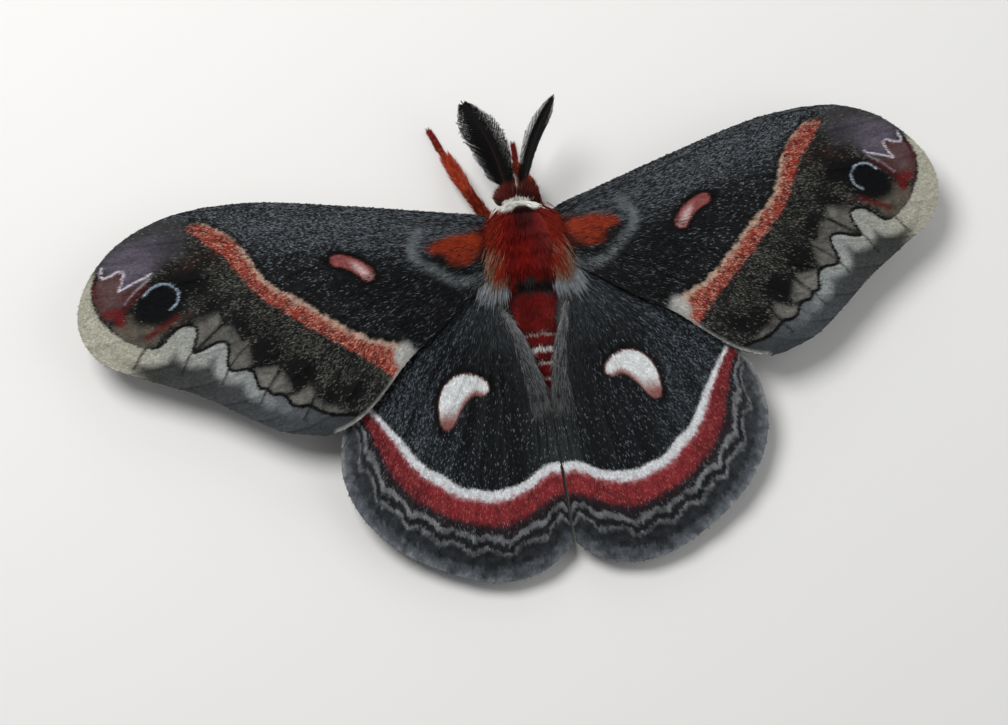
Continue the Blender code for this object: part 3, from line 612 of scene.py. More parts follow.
# %% List the forewing's shapes
BASAL_PATCH = [(6.4, 2.2), (7.4, 2.9), (9.0, 3.1), (12.0, 3.0), (14.2, 2.4), (15.0, 1.6), (13.4, 0.9),
               (12.2, -0.3), (11.0, -1.3), (9.6, -1.6), (8.4, -0.8), (7.2, 0.6)]
BASAL_STREAK = [(6.5, 3.7), (9.0, 3.6), (11.5, 3.5), (14.0, 3.2)]
BASAL_ARC = [(15.8, 4.8), (17.0, 3.2), (17.3, 1.3), (16.6, 0.1), (15.2, -0.9), (13.9, -2.1),
             (12.4, -3.3), (10.5, -4.1), (8.6, -4.5), (7.4, -4.2)]
DISCAL_SPOT = [(24.5, -0.2), (25.4, 0.9), (26.5, 1.8), (27.8, 2.5), (28.8, 2.8)]
DISCAL_TAIL = [(28.6, 2.8), (30.9, 3.5)]
DISCAL_GLOW = ((25.3, 0.6), (1.7, 0.55), 50)
BAND_INNER = [(48.9, 12.9), (47.7, 12.6), (46.4, 11.8), (44.5, 10.2), (42.6, 8.0), (41.4, 5.2),
              (40.6, 3.2), (39.6, 1.6), (38.0, 0.1), (36.0, -1.5), (34.0, -3.3), (32.0, -5.1),
              (30.0, -6.8), (28.0, -8.4), (26.0, -9.8), (24.0, -10.7), (22.0, -11.6),
              (20.8, -12.8), (20.2, -14.2)]
BAND_OUTER = [(49.9, 12.5), (49.6, 11.6), (48.3, 9.9), (46.2, 7.6), (44.6, 5.4), (43.2, 3.0),
              (42.1, 1.0), (40.6, -1.0), (38.6, -2.9), (36.4, -4.9), (34.0, -7.1), (31.6, -9.2),
              (29.0, -11.5), (26.6, -13.6), (24.6, -15.4), (23.2, -17.4)]
REAR_FRINGE = [(20.3, -14.0), (22.5, -16.6), (25.0, -18.8), (28.0, -20.9), (31.0, -22.2), (33.5, -22.8)]
DARK_BLOTCHES = [
    ((41.7, -8.8), (2.6, 2.0)), ((37.2, -13.0), (2.5, 2.6)), ((30.0, -17.3), (2.4, 1.5)),
    ((33.5, -17.4), (2.0, 1.3)), ((48.9, -1.0), (3.2, 1.0)), ((50.6, 3.6), (2.0, 2.6)),
    ((44.5, -4.3), (1.4, 1.7)),
]
BLOTCH_TURN = -30
BROWN_PATCH = ((49.8, 6.4), (4.4, 2.4), -20)
REDDISH_RUN = [(51.6, -1.0), (53.5, -1.8), (56.0, -2.9)]
WHITE_CORNER = ((21.6, -13.2), (1.3, 1.8), 30)
TAN_PATCHES = [
    [(47.6, -1.6), (50.6, -1.8), (51.4, -2.6), (51.2, -4.2), (51.8, -6.3), (49.5, -4.8), (47.6, -3.2)],
    [(45.8, -4.0), (47.4, -3.8), (51.0, -6.3), (49.0, -6.0), (47.2, -6.2), (47.0, -7.6),
     (45.0, -6.8), (45.4, -5.4)],
    [(44.0, -6.6), (46.9, -7.4), (47.6, -9.6), (47.0, -10.7), (45.2, -10.9), (44.0, -10.2)],
    [(40.4, -11.4), (43.6, -11.1), (43.9, -12.6), (43.8, -14.1), (42.4, -14.4), (41.2, -13.4)],
    [(39.8, -12.2), (41.6, -14.0), (42.2, -15.0), (40.8, -15.5), (39.2, -15.4), (38.8, -14.0)],
    [(36.2, -14.8), (38.4, -16.1), (39.8, -16.2), (39.6, -17.3), (38.3, -17.9), (36.9, -17.9),
     (35.7, -16.6)],
    [(35.6, -17.0), (36.6, -18.2), (35.2, -19.2), (33.0, -20.2), (31.5, -20.4), (33.5, -18.8)],
]
TAN_STRENGTHS = (0.9, 0.55, 0.75, 1.0, 0.9, 0.9, 0.7)
APEX_LINE = [(60.2, 10.9), (61.9, 9.3), (62.8, 7.9), (63.6, 6.2), (64.1, 4.2), (63.9, 2.0),
             (63.4, 0.5), (62.7, -0.7), (61.8, -2.0), (60.7, -3.1)]
WAVY_LINE = [
    (60.7, -3.1), (59.4, -4.1), (58.2, -4.8), (57.0, -5.2), (56.0, -4.8), (55.0, -3.9),
    (53.6, -2.9), (52.2, -2.7), (51.2, -3.2), (51.2, -4.4), (51.9, -6.1), (52.1, -6.9),
    (51.0, -6.9), (49.4, -6.3), (48.0, -6.1), (47.1, -6.6), (47.1, -7.8), (47.6, -9.4),
    (47.5, -10.5), (46.6, -10.9), (45.2, -10.9), (44.1, -11.6), (43.8, -12.9), (43.6, -14.1),
    (42.5, -14.5), (42.0, -15.4), (40.6, -15.6), (39.9, -16.3), (39.4, -17.4), (38.2, -18.0),
    (36.8, -18.1), (35.6, -19.1), (33.8, -20.1), (31.6, -20.5), (30.0, -20.9),
]
BEYOND_THE_MARGIN = [(30.0, -25.0), (42.0, -23.5), (50.0, -18.0), (59.0, -12.0), (67.5, -6.0),
                     (70.0, 0.5), (68.0, 8.0), (63.0, 13.0)]
DARK_VEINS = [
    [(45.0, -2.2), (48.0, -4.0), (50.8, -6.0), (52.4, -7.0), (54.3, -10.0)],
    [(43.0, -6.6), (45.0, -8.0), (47.2, -9.9), (48.9, -12.4)],
    [(39.6, -11.0), (41.0, -12.8), (42.6, -14.5), (44.0, -16.6)],
    [(35.0, -15.5), (36.4, -17.8), (38.0, -20.0)],
    [(54.3, -1.2), (56.5, -3.2), (58.3, -5.0), (60.2, -7.6)],
]
MAROON_APEX = [(57.4, 4.6), (60.0, 4.6), (59.5, 5.8), (59.3, 7.0), (60.2, 7.4), (61.4, 6.9), (62.4, 7.0),
               (62.3, 8.2), (63.2, 7.2), (64.0, 4.2), (63.6, 2.0), (62.8, 0.4), (61.6, 0.1), (60.6, 1.4),
               (59.0, 2.8)]
# painted sheen: a lighter oval in the middle of the dark red patch at the tip
MAROON_PAINTED_SHEEN = ((61.6, 4.4), (2.0, 2.2), 0)
RED_RUN = [(56.6, 4.2), (58.4, 3.1), (60.0, 1.5), (61.2, 0.2), (61.0, -1.6)]
RED_BLOTCHES = [((61.8, 1.1), (1.2, 0.7)), ((60.7, -0.3), (0.6, 1.2))]
ZIGZAG = [(55.8, 6.2), (56.6, 5.7), (58.0, 5.3), (59.2, 4.8), (60.4, 4.3), (59.8, 5.6), (59.3, 7.0),
          (60.0, 7.5), (61.0, 7.0), (62.2, 6.7), (62.5, 7.3), (62.1, 8.4)]
SECOND_ZIGZAG = [(56.2, 5.4), (57.6, 4.3), (59.2, 3.0), (60.0, 2.1)]
APEX_DART = [(62.4, 8.0), (63.1, 6.8), (63.6, 5.2), (63.5, 3.8)]
MAUVE_GLOSS = [(50.4, 10.4), (52.5, 8.4), (54.6, 7.2), (56.4, 5.8), (60.2, 4.8), (61.6, 7.4),
               (61.6, 9.4), (57.6, 11.2), (53.0, 12.0)]
EYESPOT_CENTRE = (55.4, 1.8)
EYESPOT_RADII = (3.4, 2.2)
EYESPOT_HALO = (4.6, 3.3)
EYESPOT_TURN = -32.0
CRESCENT = [(54.2, 0.1), (53.2, 0.9), (52.7, 2.0), (52.9, 3.1), (53.8, 4.0), (55.0, 4.2),
            (56.2, 3.8), (57.2, 3.0)]
BEIGE_AREA = [(56.6, -1.4), (58.4, -0.6), (59.4, 0.6), (60.6, -1.0), (62.2, -0.8), (61.6, -2.2), (60.4, -3.4),
              (58.8, -4.6), (57.4, -4.9), (56.2, -3.8), (55.8, -2.6)]
RED_STREAK = [(53.6, -1.1), (55.4, -2.2), (57.8, -3.5)]
print(len(TAN_PATCHES), "tan patches and", len(DARK_BLOTCHES), "dark blotches on a forewing")

# %% [markdown]
# ## Painting the forewing
# The painter works from the ground up: the inner markings, the dark field, the pale margin, the
# tip and the long band. Each paint is four numbers: red, green, blue and how quiet the marking is.
# Loose pale scales are scattered over the dark ground like pepper and salt, and a quiet marking
# hides them, so an eyespot stays clean while the field round it is dusty.

# %% Choose the wing paints
def mark(red, green, blue, quiet=1.0):
    """A wing paint: the colour as seen on a screen, and how far it hides loose pale scales."""
    return np.append(tone(red, green, blue), quiet)


def worn(paint, x, y, seed):
    """The paint's own three colours, a little lighter and darker from place to place."""
    return paint[..., :3] * (0.86 + 0.28 * mottle(x, y, 0.35, seed))[..., None]


GROUND_DARK = mark(13, 14, 15, 0.0)
GROUND_GREY = mark(27, 29, 30, 0.0)
BLACK = mark(5, 5, 6)
PALE_SCALE = tone(112, 118, 124)
CREAM_SCALE = tone(104, 103, 94)
BAND_RED = mark(134, 42, 29, 0.0)
BAND_DEEP_RED = mark(92, 24, 18, 0.0)
BAND_WHITE = mark(172, 148, 130, 0.4)
BAND_GRAIN = tone(200, 158, 138)
BAND_DUST = 0.32  # the share of pale scales on the long band
# place along X, the edge of a scallop and its heart, in the zone outside the wavy line
MARGIN_TONES = [
    (31.0, mark(48, 49, 50), mark(44, 45, 46)), (36.0, mark(66, 70, 73), mark(56, 60, 63)),
    (41.0, mark(96, 100, 102), mark(66, 69, 72)), (45.0, mark(140, 145, 144), mark(64, 67, 69)),
    (49.0, mark(150, 153, 150), mark(60, 62, 63)), (55.0, mark(152, 153, 144), mark(58, 60, 59)),
    (61.0, mark(168, 166, 150), mark(58, 58, 54)),
]


# %% Paint the forewing
def forewing_inner(x, y, paint):
    """The patch with its painted shadow, the arc and the spot that lie inside the band."""
    fuzz = 0.5 * (mottle(x, y, 0.5, 11) - 0.5)
    arc = stroke(x + fuzz, y + fuzz, BASAL_ARC, (1.4, 1.6), 1.3) * (0.5 + 0.6 * mottle(x, y, 0.5, 12))
    orange = mix(mark(122, 36, 18), mark(156, 56, 26), mottle(x, y, 0.7, 13))
    streak = stroke(x, y, BASAL_STREAK, (0.3, 0.5), 0.5)
    rim = np.maximum(stroke(x, y, DISCAL_SPOT, 3.5, 0.9), stroke(x, y, DISCAL_TAIL, (2.9, 1.0), 0.9))
    spot = stroke(x, y, DISCAL_SPOT, (2.1, 1.7), 0.7)
    pink = mix(mark(134, 74, 72), mark(198, 168, 166), oval(x, y, *DISCAL_GLOW, 0.8))
    return layered(
        paint,
        (mark(112, 118, 120, 0.5), np.clip(arc, 0, 1)),
        (mark(66, 16, 10), fade(x, 9.0, 6.5) * fade(np.abs(y - 1.0), 3.6, 1.8)),
        # painted shadow: a dark copy of the orange patch, moved outward and to the rear, lies under it
        (BLACK, 0.8 * patch(x - 0.7, y + 1.3, BASAL_PATCH, 2.4)),
        (orange, patch(x + fuzz, y - fuzz, BASAL_PATCH, 1.5)),
        (mark(120, 100, 96), 0.6 * streak * mottle(x, y, 0.4, 14)),
        (BLACK, rim),
        (mix(mark(96, 34, 32), pink, fade(spot, 0.25, 0.9)), fade(spot, 0.1, 0.6)))


def forewing_field(x, y, paint):
    """The dark field between the band and the wavy line."""
    brown = mix(mark(14, 11, 11, 0.7), mark(50, 30, 25, 0.7), mottle(x, y, 0.6, 51) ** 2)
    speckle = 0.6 + 0.5 * mottle(x, y, 0.6, 52)
    reddish = mix(mark(40, 20, 18), mark(104, 92, 82), mottle(x, y, 0.5, 53) ** 2)
    return layered(
        paint,
        (brown, 0.9 * oval(x, y, *BROWN_PATCH, 3.0)),
        *((mark(116, 114, 108, 0.6), np.clip(strength * patch(x, y, points, 0.8, False) * speckle, 0, 1))
          for points, strength in zip(TAN_PATCHES, TAN_STRENGTHS)),
        *((BLACK, 0.9 * oval(x, y, *blotch, BLOTCH_TURN, 2.2)) for blotch in DARK_BLOTCHES),
        (reddish, 0.6 * stroke(x, y, REDDISH_RUN, 1.2, 1.0)))


def forewing_margin_zone(x, y, paint):
    """The pale zone outside the wavy line, with a grey heart in each scallop."""
    wavy = smooth_path(WAVY_LINE, 190)
    border = smooth_path(APEX_LINE, 60)[:-1]
    outline = np.vstack([border, wavy, BEYOND_THE_MARGIN])
    near = near_shape(x, y, outline, 1.0)
    zone = np.zeros(x.shape, bool)
    zone[near] = inside_outline(x[near], y[near], outline)
    away = np.full(x.shape, 9.0)
    away[near] = from_line(x[near], y[near], np.vstack([border, wavy]))[0]
    places, *tables = zip(*MARGIN_TONES)
    pale, grey = (between(x, places, table) for table in tables)
    reach = np.interp(x, (36.0, 45.0, 52.0, 60.0), (0.9, 1.1, 1.35, 1.9))
    cloud = 0.5 * (mottle(x, y, 1.3, 31) - 0.5)
    heart = fade(away + cloud, reach, reach + 1.7) * fade(x - 0.35 * (y + 8.0), 62.5, 58.5)
    return layered(
        paint,
        (mix(pale, grey, heart), zone * fade(away, 0.0, 0.3)),
        (mark(72, 64, 58), zone * fade(y, 7.0, 10.0)),
        (mix(mark(64, 56, 50), BLACK, fade(x, 60.0, 57.5)), stroke(x, y, WAVY_LINE, (0.40, 0.60), 0.24)),
        *((mark(18, 18, 18), 0.8 * stroke(x, y, points, 0.32, 0.3)) for points in DARK_VEINS))


def forewing_apex(x, y, paint):
    """The glossy mauve tip with its dark red patch and that patch's painted sheen, zigzag and eyespot."""
    streaks = mottle(x * 0.25 + 0.5 * y, y * 2.2 - x * 0.4, 1.0, 40)
    grey = mix(mark(42, 42, 43, 0.6), mark(60, 60, 62, 0.6), streaks)
    mauve = mix(mark(58, 55, 60), mark(98, 91, 104), fade(x, 52.0, 58.0) * (0.45 + 0.55 * streaks))
    # the dark red patch at the tip, with a painted sheen lightening its middle
    maroon_and_sheen = mix(mark(66, 36, 33), mark(98, 76, 76),
                 0.5 * mottle(x, y, 1.0, 42) + 0.5 * oval(x, y, *MAROON_PAINTED_SHEEN, 2.4))
    dart = mix(mark(16, 8, 9), mark(76, 16, 18), fade(y, 7.0, 5.2))
    beige = patch(x, y, BEIGE_AREA, 0.8) * (0.5 + 0.5 * mottle(x, y, 0.9, 43))
    halo = oval(x, y, EYESPOT_CENTRE, EYESPOT_HALO, EYESPOT_TURN, 1.6) * fade(x + 0.8 * y, 60.6, 58.4)
    return layered(
        paint,
        (grey, fade(x, 49.5, 51.5) * fade(y, 6.5, 9.0)),
        (mauve, patch(x, y, MAUVE_GLOSS, 2.8)),
        (maroon_and_sheen, patch(x, y, MAROON_APEX, 0.6)),
        (mark(66, 24, 24), stroke(x, y, RED_RUN, (0.7, 1.2), 0.8)),
        *((mark(104, 18, 22), 0.75 * oval(x, y, *blotch, 0, 0.9)) for blotch in RED_BLOTCHES),
        (dart, stroke(x, y, APEX_DART, (0.7, 0.25), 0.3)),
        (mark(94, 87, 76), beige),
        (mark(86, 22, 22), 0.85 * stroke(x, y, RED_STREAK, (0.9, 0.8), 0.7)),
        (BLACK, halo),
        (mark(2, 3, 6), oval(x, y, EYESPOT_CENTRE, EYESPOT_RADII, EYESPOT_TURN, 0.4)),
        (mark(196, 188, 200), stroke(x, y, ZIGZAG, (0.26, 0.30), 0.3, False)),
        (mark(150, 134, 138), 0.8 * stroke(x, y, SECOND_ZIGZAG, (0.4, 0.15), 0.3)),
        (mark(156, 174, 188), stroke(x, y, CRESCENT, (0.18, 0.26), 0.3)))


def forewing_band(x, y, paint):
    """The long band: cream inside, red outside, its edges frayed. It also gives the band's mask."""
    inner = smooth_path(BAND_INNER, 90)
    outer = smooth_path(BAND_OUTER, 90)
    fray = 0.9 * (mottle(x, y, 0.34, 20) - 0.5) + 0.5 * (mottle(x, y, 1.3, 24) - 0.5)
    from_inner, along, side = from_line(x, y, inner)
    nearest = np.minimum(from_inner, from_line(x, y, outer)[0])
    within = inside_outline(x, y, np.vstack([inner, outer[::-1]]))
    cream_width = np.interp(along, (0.0, 0.2, 0.6, 0.88, 1.0), (0.1, 0.2, 0.45, 0.9, 1.7)) + fray
    red = mix(BAND_RED, BAND_DEEP_RED, fade(mottle(x, y, 0.6, 23), 0.45, 0.85))
    band = mix(red, BAND_WHITE, fade(from_inner, cream_width + 0.55, cream_width - 0.35))
    edge = np.where(within, nearest, -nearest)
    strength = fade(edge + 0.6 * fray, -0.25, 0.35) * fade(y, 13.0, 11.6)
    fringe = stroke(x, y, REAR_FRINGE, (2.6, 0.7), 0.7) * (0.6 + 0.4 * mottle(x, y, 0.4, 25))
    paint = layered(
        paint,
        (BLACK, 0.7 * fade(from_inner, 1.2, 0.2) * ((side < 0) & ~within)),
        (band, strength),
        (mark(176, 174, 168), oval(x, y, *WHITE_CORNER, 1.2)),
        (mark(148, 149, 145), fringe))
    return paint, strength


def paint_forewing(x, y, u, v):
    """Base colour at each place, and the share and colour of the pale scales scattered over it."""
    front_edge = from_line(x, y, FOREWING["front_line"][::4])[0]
    costa = fade(front_edge, 10.5, 4.0) * fade(x, 4.0, 9.0)
    inner_side = from_line(x, y, smooth_path(BAND_INNER, 60))[2] < 0
    share = np.where(inner_side, 0.07 + 0.36 * costa + 0.08 * mottle(x, y, 2.2, 61),
                     0.20 + 0.24 * mottle(x, y, 1.6, 63))
    paint = mix(np.broadcast_to(GROUND_DARK, x.shape + (4,)), GROUND_GREY, costa)
    for lay in (forewing_inner, forewing_field, forewing_margin_zone, forewing_apex):
        paint = lay(x, y, paint)
    paint, band = forewing_band(x, y, paint)
    dust = mix(np.where(inner_side[..., None], PALE_SCALE, CREAM_SCALE), BAND_GRAIN, band)
    share = (share + (BAND_DUST - share) * band) * (1 - paint[..., 3])
    return worn(paint, x, y, 62), share, dust


# %% [markdown]
# ## The hindwing's markings
# The hindwing carries a white comma with a pink tail in its middle. A white line crosses it from
# edge to edge, and beyond that come a crimson band, a dark one, a row of pale scallops and a grey
# margin. The rows beyond the line keep their shares of the room between the line and the margin,
# so one number from 0 at the line to 1 at the margin places them all.

# %% List and paint the hindwing's shapes
COMMA = np.array([
    (9.0, -20.7), (9.1, -19.6), (10.3, -18.4), (12.2, -17.7), (14.2, -18.0), (15.8, -19.2),
    (16.8, -21.0), (17.1, -23.0), (16.9, -25.3), (16.0, -25.6), (14.9, -24.6), (13.6, -22.8),
    (12.4, -21.6), (11.2, -21.0), (10.0, -21.3),
])
COMMA_MIDDLE = (13.3, -21.4)
COMMA_HOLLOW = [(8.8, -21.6), (10.0, -21.7), (11.2, -21.2), (12.2, -21.8), (13.3, -22.9),
                (14.6, -24.8), (15.8, -26.0)]
WHITE_LINE = [(-1.0, -33.4), (1.0, -33.0), (2.5, -33.2), (4.0, -34.0), (5.5, -34.9), (7.0, -35.4),
              (9.0, -35.7), (11.5, -35.7), (13.0, -35.2), (15.0, -34.7), (16.4, -33.9),
              (17.8, -32.5), (19.0, -31.6), (20.0, -31.0), (21.5, -29.2), (22.6, -27.4),
              (23.5, -25.8), (24.8, -24.0), (26.0, -22.2), (27.4, -20.4), (28.8, -18.6)]
CORNER_RIM = [(29.0, -18.4), (31.6, -22.4), (32.6, -26.0), (32.8, -29.6)]
CRIMSON = mark(124, 36, 40, 0.3)
LINE_WHITE = mark(206, 208, 210)
# share of the way from the white line to the margin, and the paint there
HINDWING_ROWS = [
    (0.00, LINE_WHITE), (0.085, LINE_WHITE), (0.13, mark(150, 82, 84)), (0.17, CRIMSON),
    (0.33, CRIMSON), (0.40, mark(38, 26, 29, 0.5)), (0.49, mark(20, 19, 22, 0.5)),
    (0.515, mark(104, 105, 106, 0.6)), (0.565, mark(94, 95, 96, 0.6)), (0.595, mark(20, 22, 25)),
    (0.655, mark(26, 28, 31)), (0.68, mark(98, 99, 99, 0.7)), (0.705, mark(66, 68, 70, 0.7)),
    (0.73, mark(28, 30, 33)), (0.79, mark(36, 39, 42)), (0.82, mark(32, 34, 37)),
    (0.86, mark(60, 64, 68)), (0.93, mark(72, 76, 81)), (1.00, mark(98, 101, 104)),
]


def row_share(x, y, u):
    """How far each place lies from the white line to the margin, scalloped between the veins."""
    from_white, _, side = from_line(x, y, smooth_path(WHITE_LINE, 120))
    to_margin = from_line(x, y, HINDWING["margin_line"][::3])[0]
    share = from_white / np.maximum(from_white + to_margin, 1e-6)
    ends = np.array([0.0] + [vein[1] for vein in HINDWING["veins"]] + [1.0])
    cell = np.interp(u, ends, np.arange(len(ends)))
    scallop = np.abs(np.cos(np.pi * (cell % 1.0 - 0.5))) ** 0.7
    tooth = np.abs((3.0 * cell) % 1.0 - 0.5)
    wave = 0.10 * (scallop - 0.5) + 0.03 * (tooth - 0.25) + 0.05 * (mottle(x, y, 1.7, 70) - 0.5)
    share = share + wave * fade(share, 0.42, 0.52) * fade(share, 0.86, 0.72)
    fray = 0.05 * (mottle(x, y, 0.4, 71) - 0.5)
    return share + fray * fade(share, 0.0, 0.10), fade(side * from_white, 0.25, -0.15)


def hindwing_rows(x, y, u, paint):
    """The rows beyond the white line. It also gives a mask for the crimson band."""
    share, beyond = row_share(x, y, u)
    rows = between(share, *zip(*HINDWING_ROWS))
    grain = (0.45 + 1.1 * mottle(x, y, 0.8, 76)) * (1 + 0.35 * fade(x, 14.0, 26.0))
    rows[..., :3] *= np.where(share > 0.45, grain, 1.0)[..., None]
    front = fade(u, 0.34, 0.12) * fade(share, 0.45, 0.6)
    crimson = fade(share, 0.10, 0.18) * fade(share, 0.42, 0.34)
    rows = layered(
        rows,
        (mark(92, 94, 96), 0.45 * front * mottle(x, y, 0.6, 77)),
        (mark(90, 26, 30, 0.3), 0.6 * crimson * fade(x, 18.0, 26.0)),
        (mark(72, 24, 28, 0.3), 0.6 * crimson * fade(mottle(x, y, 0.9, 73), 0.5, 0.95)))
    paint = layered(
        paint,
        (rows, beyond),
        (mark(142, 142, 140), 0.8 * stroke(x, y, CORNER_RIM, (1.5, 0.7), 0.8)))
    return paint, beyond * crimson


def hindwing_comma(x, y, paint):
    """The white comma with its black rim and its pink lower side and tail."""
    rim = COMMA + 0.9 * (COMMA - COMMA_MIDDLE) / 4
    whole = patch(x, y, COMMA, 0.5)
    pink = np.maximum(stroke(x, y, COMMA_HOLLOW, 1.6, 1.1), fade(y, -21.8, -24.8))
    core = mix(mark(214, 216, 216), mark(138, 88, 84), np.maximum(pink, fade(whole, 0.95, 0.5)))
    return layered(paint, (BLACK, patch(x, y, rim, 1.4)), (core, whole))


def paint_hindwing(x, y, u, v):
    """Base colour at each place, and the share and colour of the pale scales scattered over it."""
    inner = fade(x, 6.0, 1.5) * fade(y, -9.0, -13.0)
    base = fade(y, -17.0, -7.0) * fade(x, 24.0, 9.0)
    outer = fade(x, 13.0, 19.0)
    streak = mottle(u * 160, v * 9, 1.0, 74)
    ray = mottle(u * 40, v * 4, 1.0, 78)
    paint = layered(
        np.broadcast_to(mark(10, 12, 13, 0.0), x.shape + (4,)),
        (mark(42, 47, 51, 0.0), (0.25 + 0.6 * outer) * fade(streak, 0.35, 0.75) * ray),
        (mark(66, 70, 74, 0.0), 0.55 * base * streak),
        (mark(52, 56, 56, 0.0), 0.7 * inner * streak))
    share = 0.05 + 0.24 * outer * (0.3 + ray) + 0.12 * base + 0.08 * ray
    paint, crimson = hindwing_rows(x, y, u, hindwing_comma(x, y, paint))
    dust = mix(np.broadcast_to(tone(102, 110, 118), x.shape + (3,)), tone(168, 84, 82), crimson)
    share = np.maximum(share, 0.30 * crimson) * (1 - paint[..., 3])
    return worn(paint, x, y, 75), share, dust


FOREWING["painter"] = paint_forewing
HINDWING["painter"] = paint_hindwing

# %% [markdown]
# ## Finishes
# One small effect is shared by all the materials, so it is a node group, built once: a grain that
# varies a colour at a chosen scale and puts out a fine height for a bump. Each material keeps its
# own Principled shader and puts its own numbers on the group. The colour attribute comes in first,
# so the same painted markings run through skin and scales.

# %% Build the shared node groups
def set_inputs(node, settings):
    """Gives a node's inputs their numbers and colours."""
    for socket, value in settings.items():
        node.inputs[socket].default_value = value
    return node


def connect(tree, *wires):
    """Each wire runs from one node's output to another node's input."""
    for source, output, target, socket in wires:
        tree.links.new(source.outputs[output], target.inputs[socket])


def grain_group():
    """Varies a colour's brightness with fine noise, and gives the noise as a height."""
    group = bpy.data.node_groups.new("Grain", "ShaderNodeTree")
    for label, kind, value in (("Color", "NodeSocketColor", (0.5, 0.5, 0.5, 1.0)),
                               ("Scale", "NodeSocketFloat", 2000.0), ("Amount", "NodeSocketFloat", 0.3)):
        group.interface.new_socket(label, in_out="INPUT", socket_type=kind).default_value = value
    for label, kind in (("Color", "NodeSocketColor"), ("Height", "NodeSocketFloat")):
        group.interface.new_socket(label, in_out="OUTPUT", socket_type=kind)
    given, out, place, noise, span, low, high, scaled = (group.nodes.new(kind) for kind in (
        "NodeGroupInput", "NodeGroupOutput", "ShaderNodeTexCoord", "ShaderNodeTexNoise",
        "ShaderNodeMapRange", "ShaderNodeMath", "ShaderNodeMath", "ShaderNodeVectorMath"))
    for node, operation in ((low, "SUBTRACT"), (high, "ADD"), (scaled, "SCALE")):
        node.operation = operation
    for node, settings in ((noise, {"Detail": 3.0}), (span, {"From Min": 0.3, "From Max": 0.7}),
                           (low, {0: 1.0}), (high, {0: 1.0})):
        set_inputs(node, settings)
    connect(group,
            (place, "Object", noise, "Vector"), (given, "Scale", noise, "Scale"),
            (given, "Amount", low, 1), (given, "Amount", high, 1),
            (noise, "Fac", span, "Value"), (low, 0, span, "To Min"), (high, 0, span, "To Max"),
            (given, "Color", scaled, 0), (span, "Result", scaled, "Scale"),
            (scaled, "Vector", out, "Color"), (noise, "Fac", out, "Height"))
    return group


GRAIN = grain_group()


# %% Make the materials
def new_finish(name, settings, grain_settings):
    """A material whose base colour runs through the grain group, and its main nodes."""
    made = bpy.data.materials.new(name)
    made.use_nodes = True
    tree = made.node_tree
    surface = set_inputs(tree.nodes["Principled BSDF"], settings)
    grain = tree.nodes.new("ShaderNodeGroup")
    grain.node_tree = GRAIN
    set_inputs(grain, grain_settings)
    connect(tree, (grain, "Color", surface, "Base Color"))
    return made, tree, surface, grain


def painted_finish(name, grain_scale, grain_amount, roughness, sheen, bump, specular):
    """A finish that takes its colour from the painted points and varies it with grain."""
    made, tree, surface, grain = new_finish(
        name,
        {"Roughness": roughness, "Specular IOR Level": specular, "Sheen Weight": sheen,
         "Sheen Roughness": 0.45},
        {"Scale": grain_scale, "Amount": grain_amount})
    source = tree.nodes.new("ShaderNodeVertexColor")
    source.layer_name = PAINT
    connect(tree, (source, "Color", grain, "Color"))
    if bump > 0:
        relief = set_inputs(tree.nodes.new("ShaderNodeBump"), {"Distance": bump * MM, "Strength": 0.7})
        connect(tree, (grain, "Height", relief, "Height"), (relief, "Normal", surface, "Normal"))
    return made


WING_SKIN = painted_finish("wing_skin", 3500.0, 0.35, 0.75, 0.01, 0.06, 0.08)
WING_SCALES = painted_finish("wing_scales", 2600.0, 0.18, 0.62, 0.01, 0.0, 0.10)
BODY_SKIN = painted_finish("body_skin", 1800.0, 0.3, 0.7, 0.02, 0.05, 0.15)
FUR = painted_finish("fur", 1500.0, 0.22, 0.6, 0.03, 0.0, 0.12)
HORN = painted_finish("horn", 2500.0, 0.2, 0.5, 0.0, 0.02, 0.12)
print("materials:", [m.name for m in bpy.data.materials])

# %% [markdown]
# ## The wing skins
# Under the scales a wing is a clear sheet about as thin as paper, held by its veins. Here it is a
# closed shell of two fine grids, upper and lower, sewn round the rim. The grid is fine enough to
# hold the veins as real ridges and the markings as painted points. The underside repeats the
# markings in paler, browner tones, as the living moth's does.

# %% Make a wing's skin
SKIN_STEP = 0.36
SKIN_HALF_THICKNESS = 0.09
EDGE_INSET = 0.12
PLAN_PATCH = 0.003
UNDERSIDE_TINT = tone(112, 98, 88)


def wing_grid(plan, step):
    """Even rows and columns over the wing, a little inside its edges."""
    length = np.linalg.norm(np.diff(plan["front_line"], axis=0), axis=1).sum()
    width = np.linalg.norm(np.diff(plan["margin_line"], axis=0), axis=1).sum()
    across = EDGE_INSET / width
    columns = np.linspace(across, 1 - across, int(width / step))
    rows = np.linspace(0.0, 1 - EDGE_INSET / length, int(length / step))
    return np.meshgrid(columns, rows)


def grid_index(rows, columns):
    return np.arange(rows * columns).reshape(rows, columns)


def grid_faces(index):
    corners = [index[:-1, :-1], index[:-1, 1:], index[1:, 1:], index[1:, :-1]]
    return np.stack(corners, axis=-1).reshape(-1, 4)


def rim_of(index):
    return np.concatenate([index[0, :], index[1:, -1], index[-1, -2::-1], index[-2:0:-1, 0]])


def scattered(paint, share, dust, rng):
    """Turns the share of pale scales into single pale ones, picked at random."""
    picked = rng.random(share.shape) < share
    strength = np.where(picked, rng.uniform(0.15, 0.95, share.shape), 0.0)
    return mix(paint, dust, strength)


def underside(paint):
    grey = paint.mean(axis=-1, keepdims=True)
    return 0.55 * paint + 0.30 * grey + 0.15 * UNDERSIDE_TINT


def plan_place(u, v, upper):
    """Where a place on the wing lies on its flat plan: upper side below, underside above."""
    return np.stack([0.01 + 0.97 * u, (0.01 if upper else 0.51) + 0.47 * v], axis=-1)


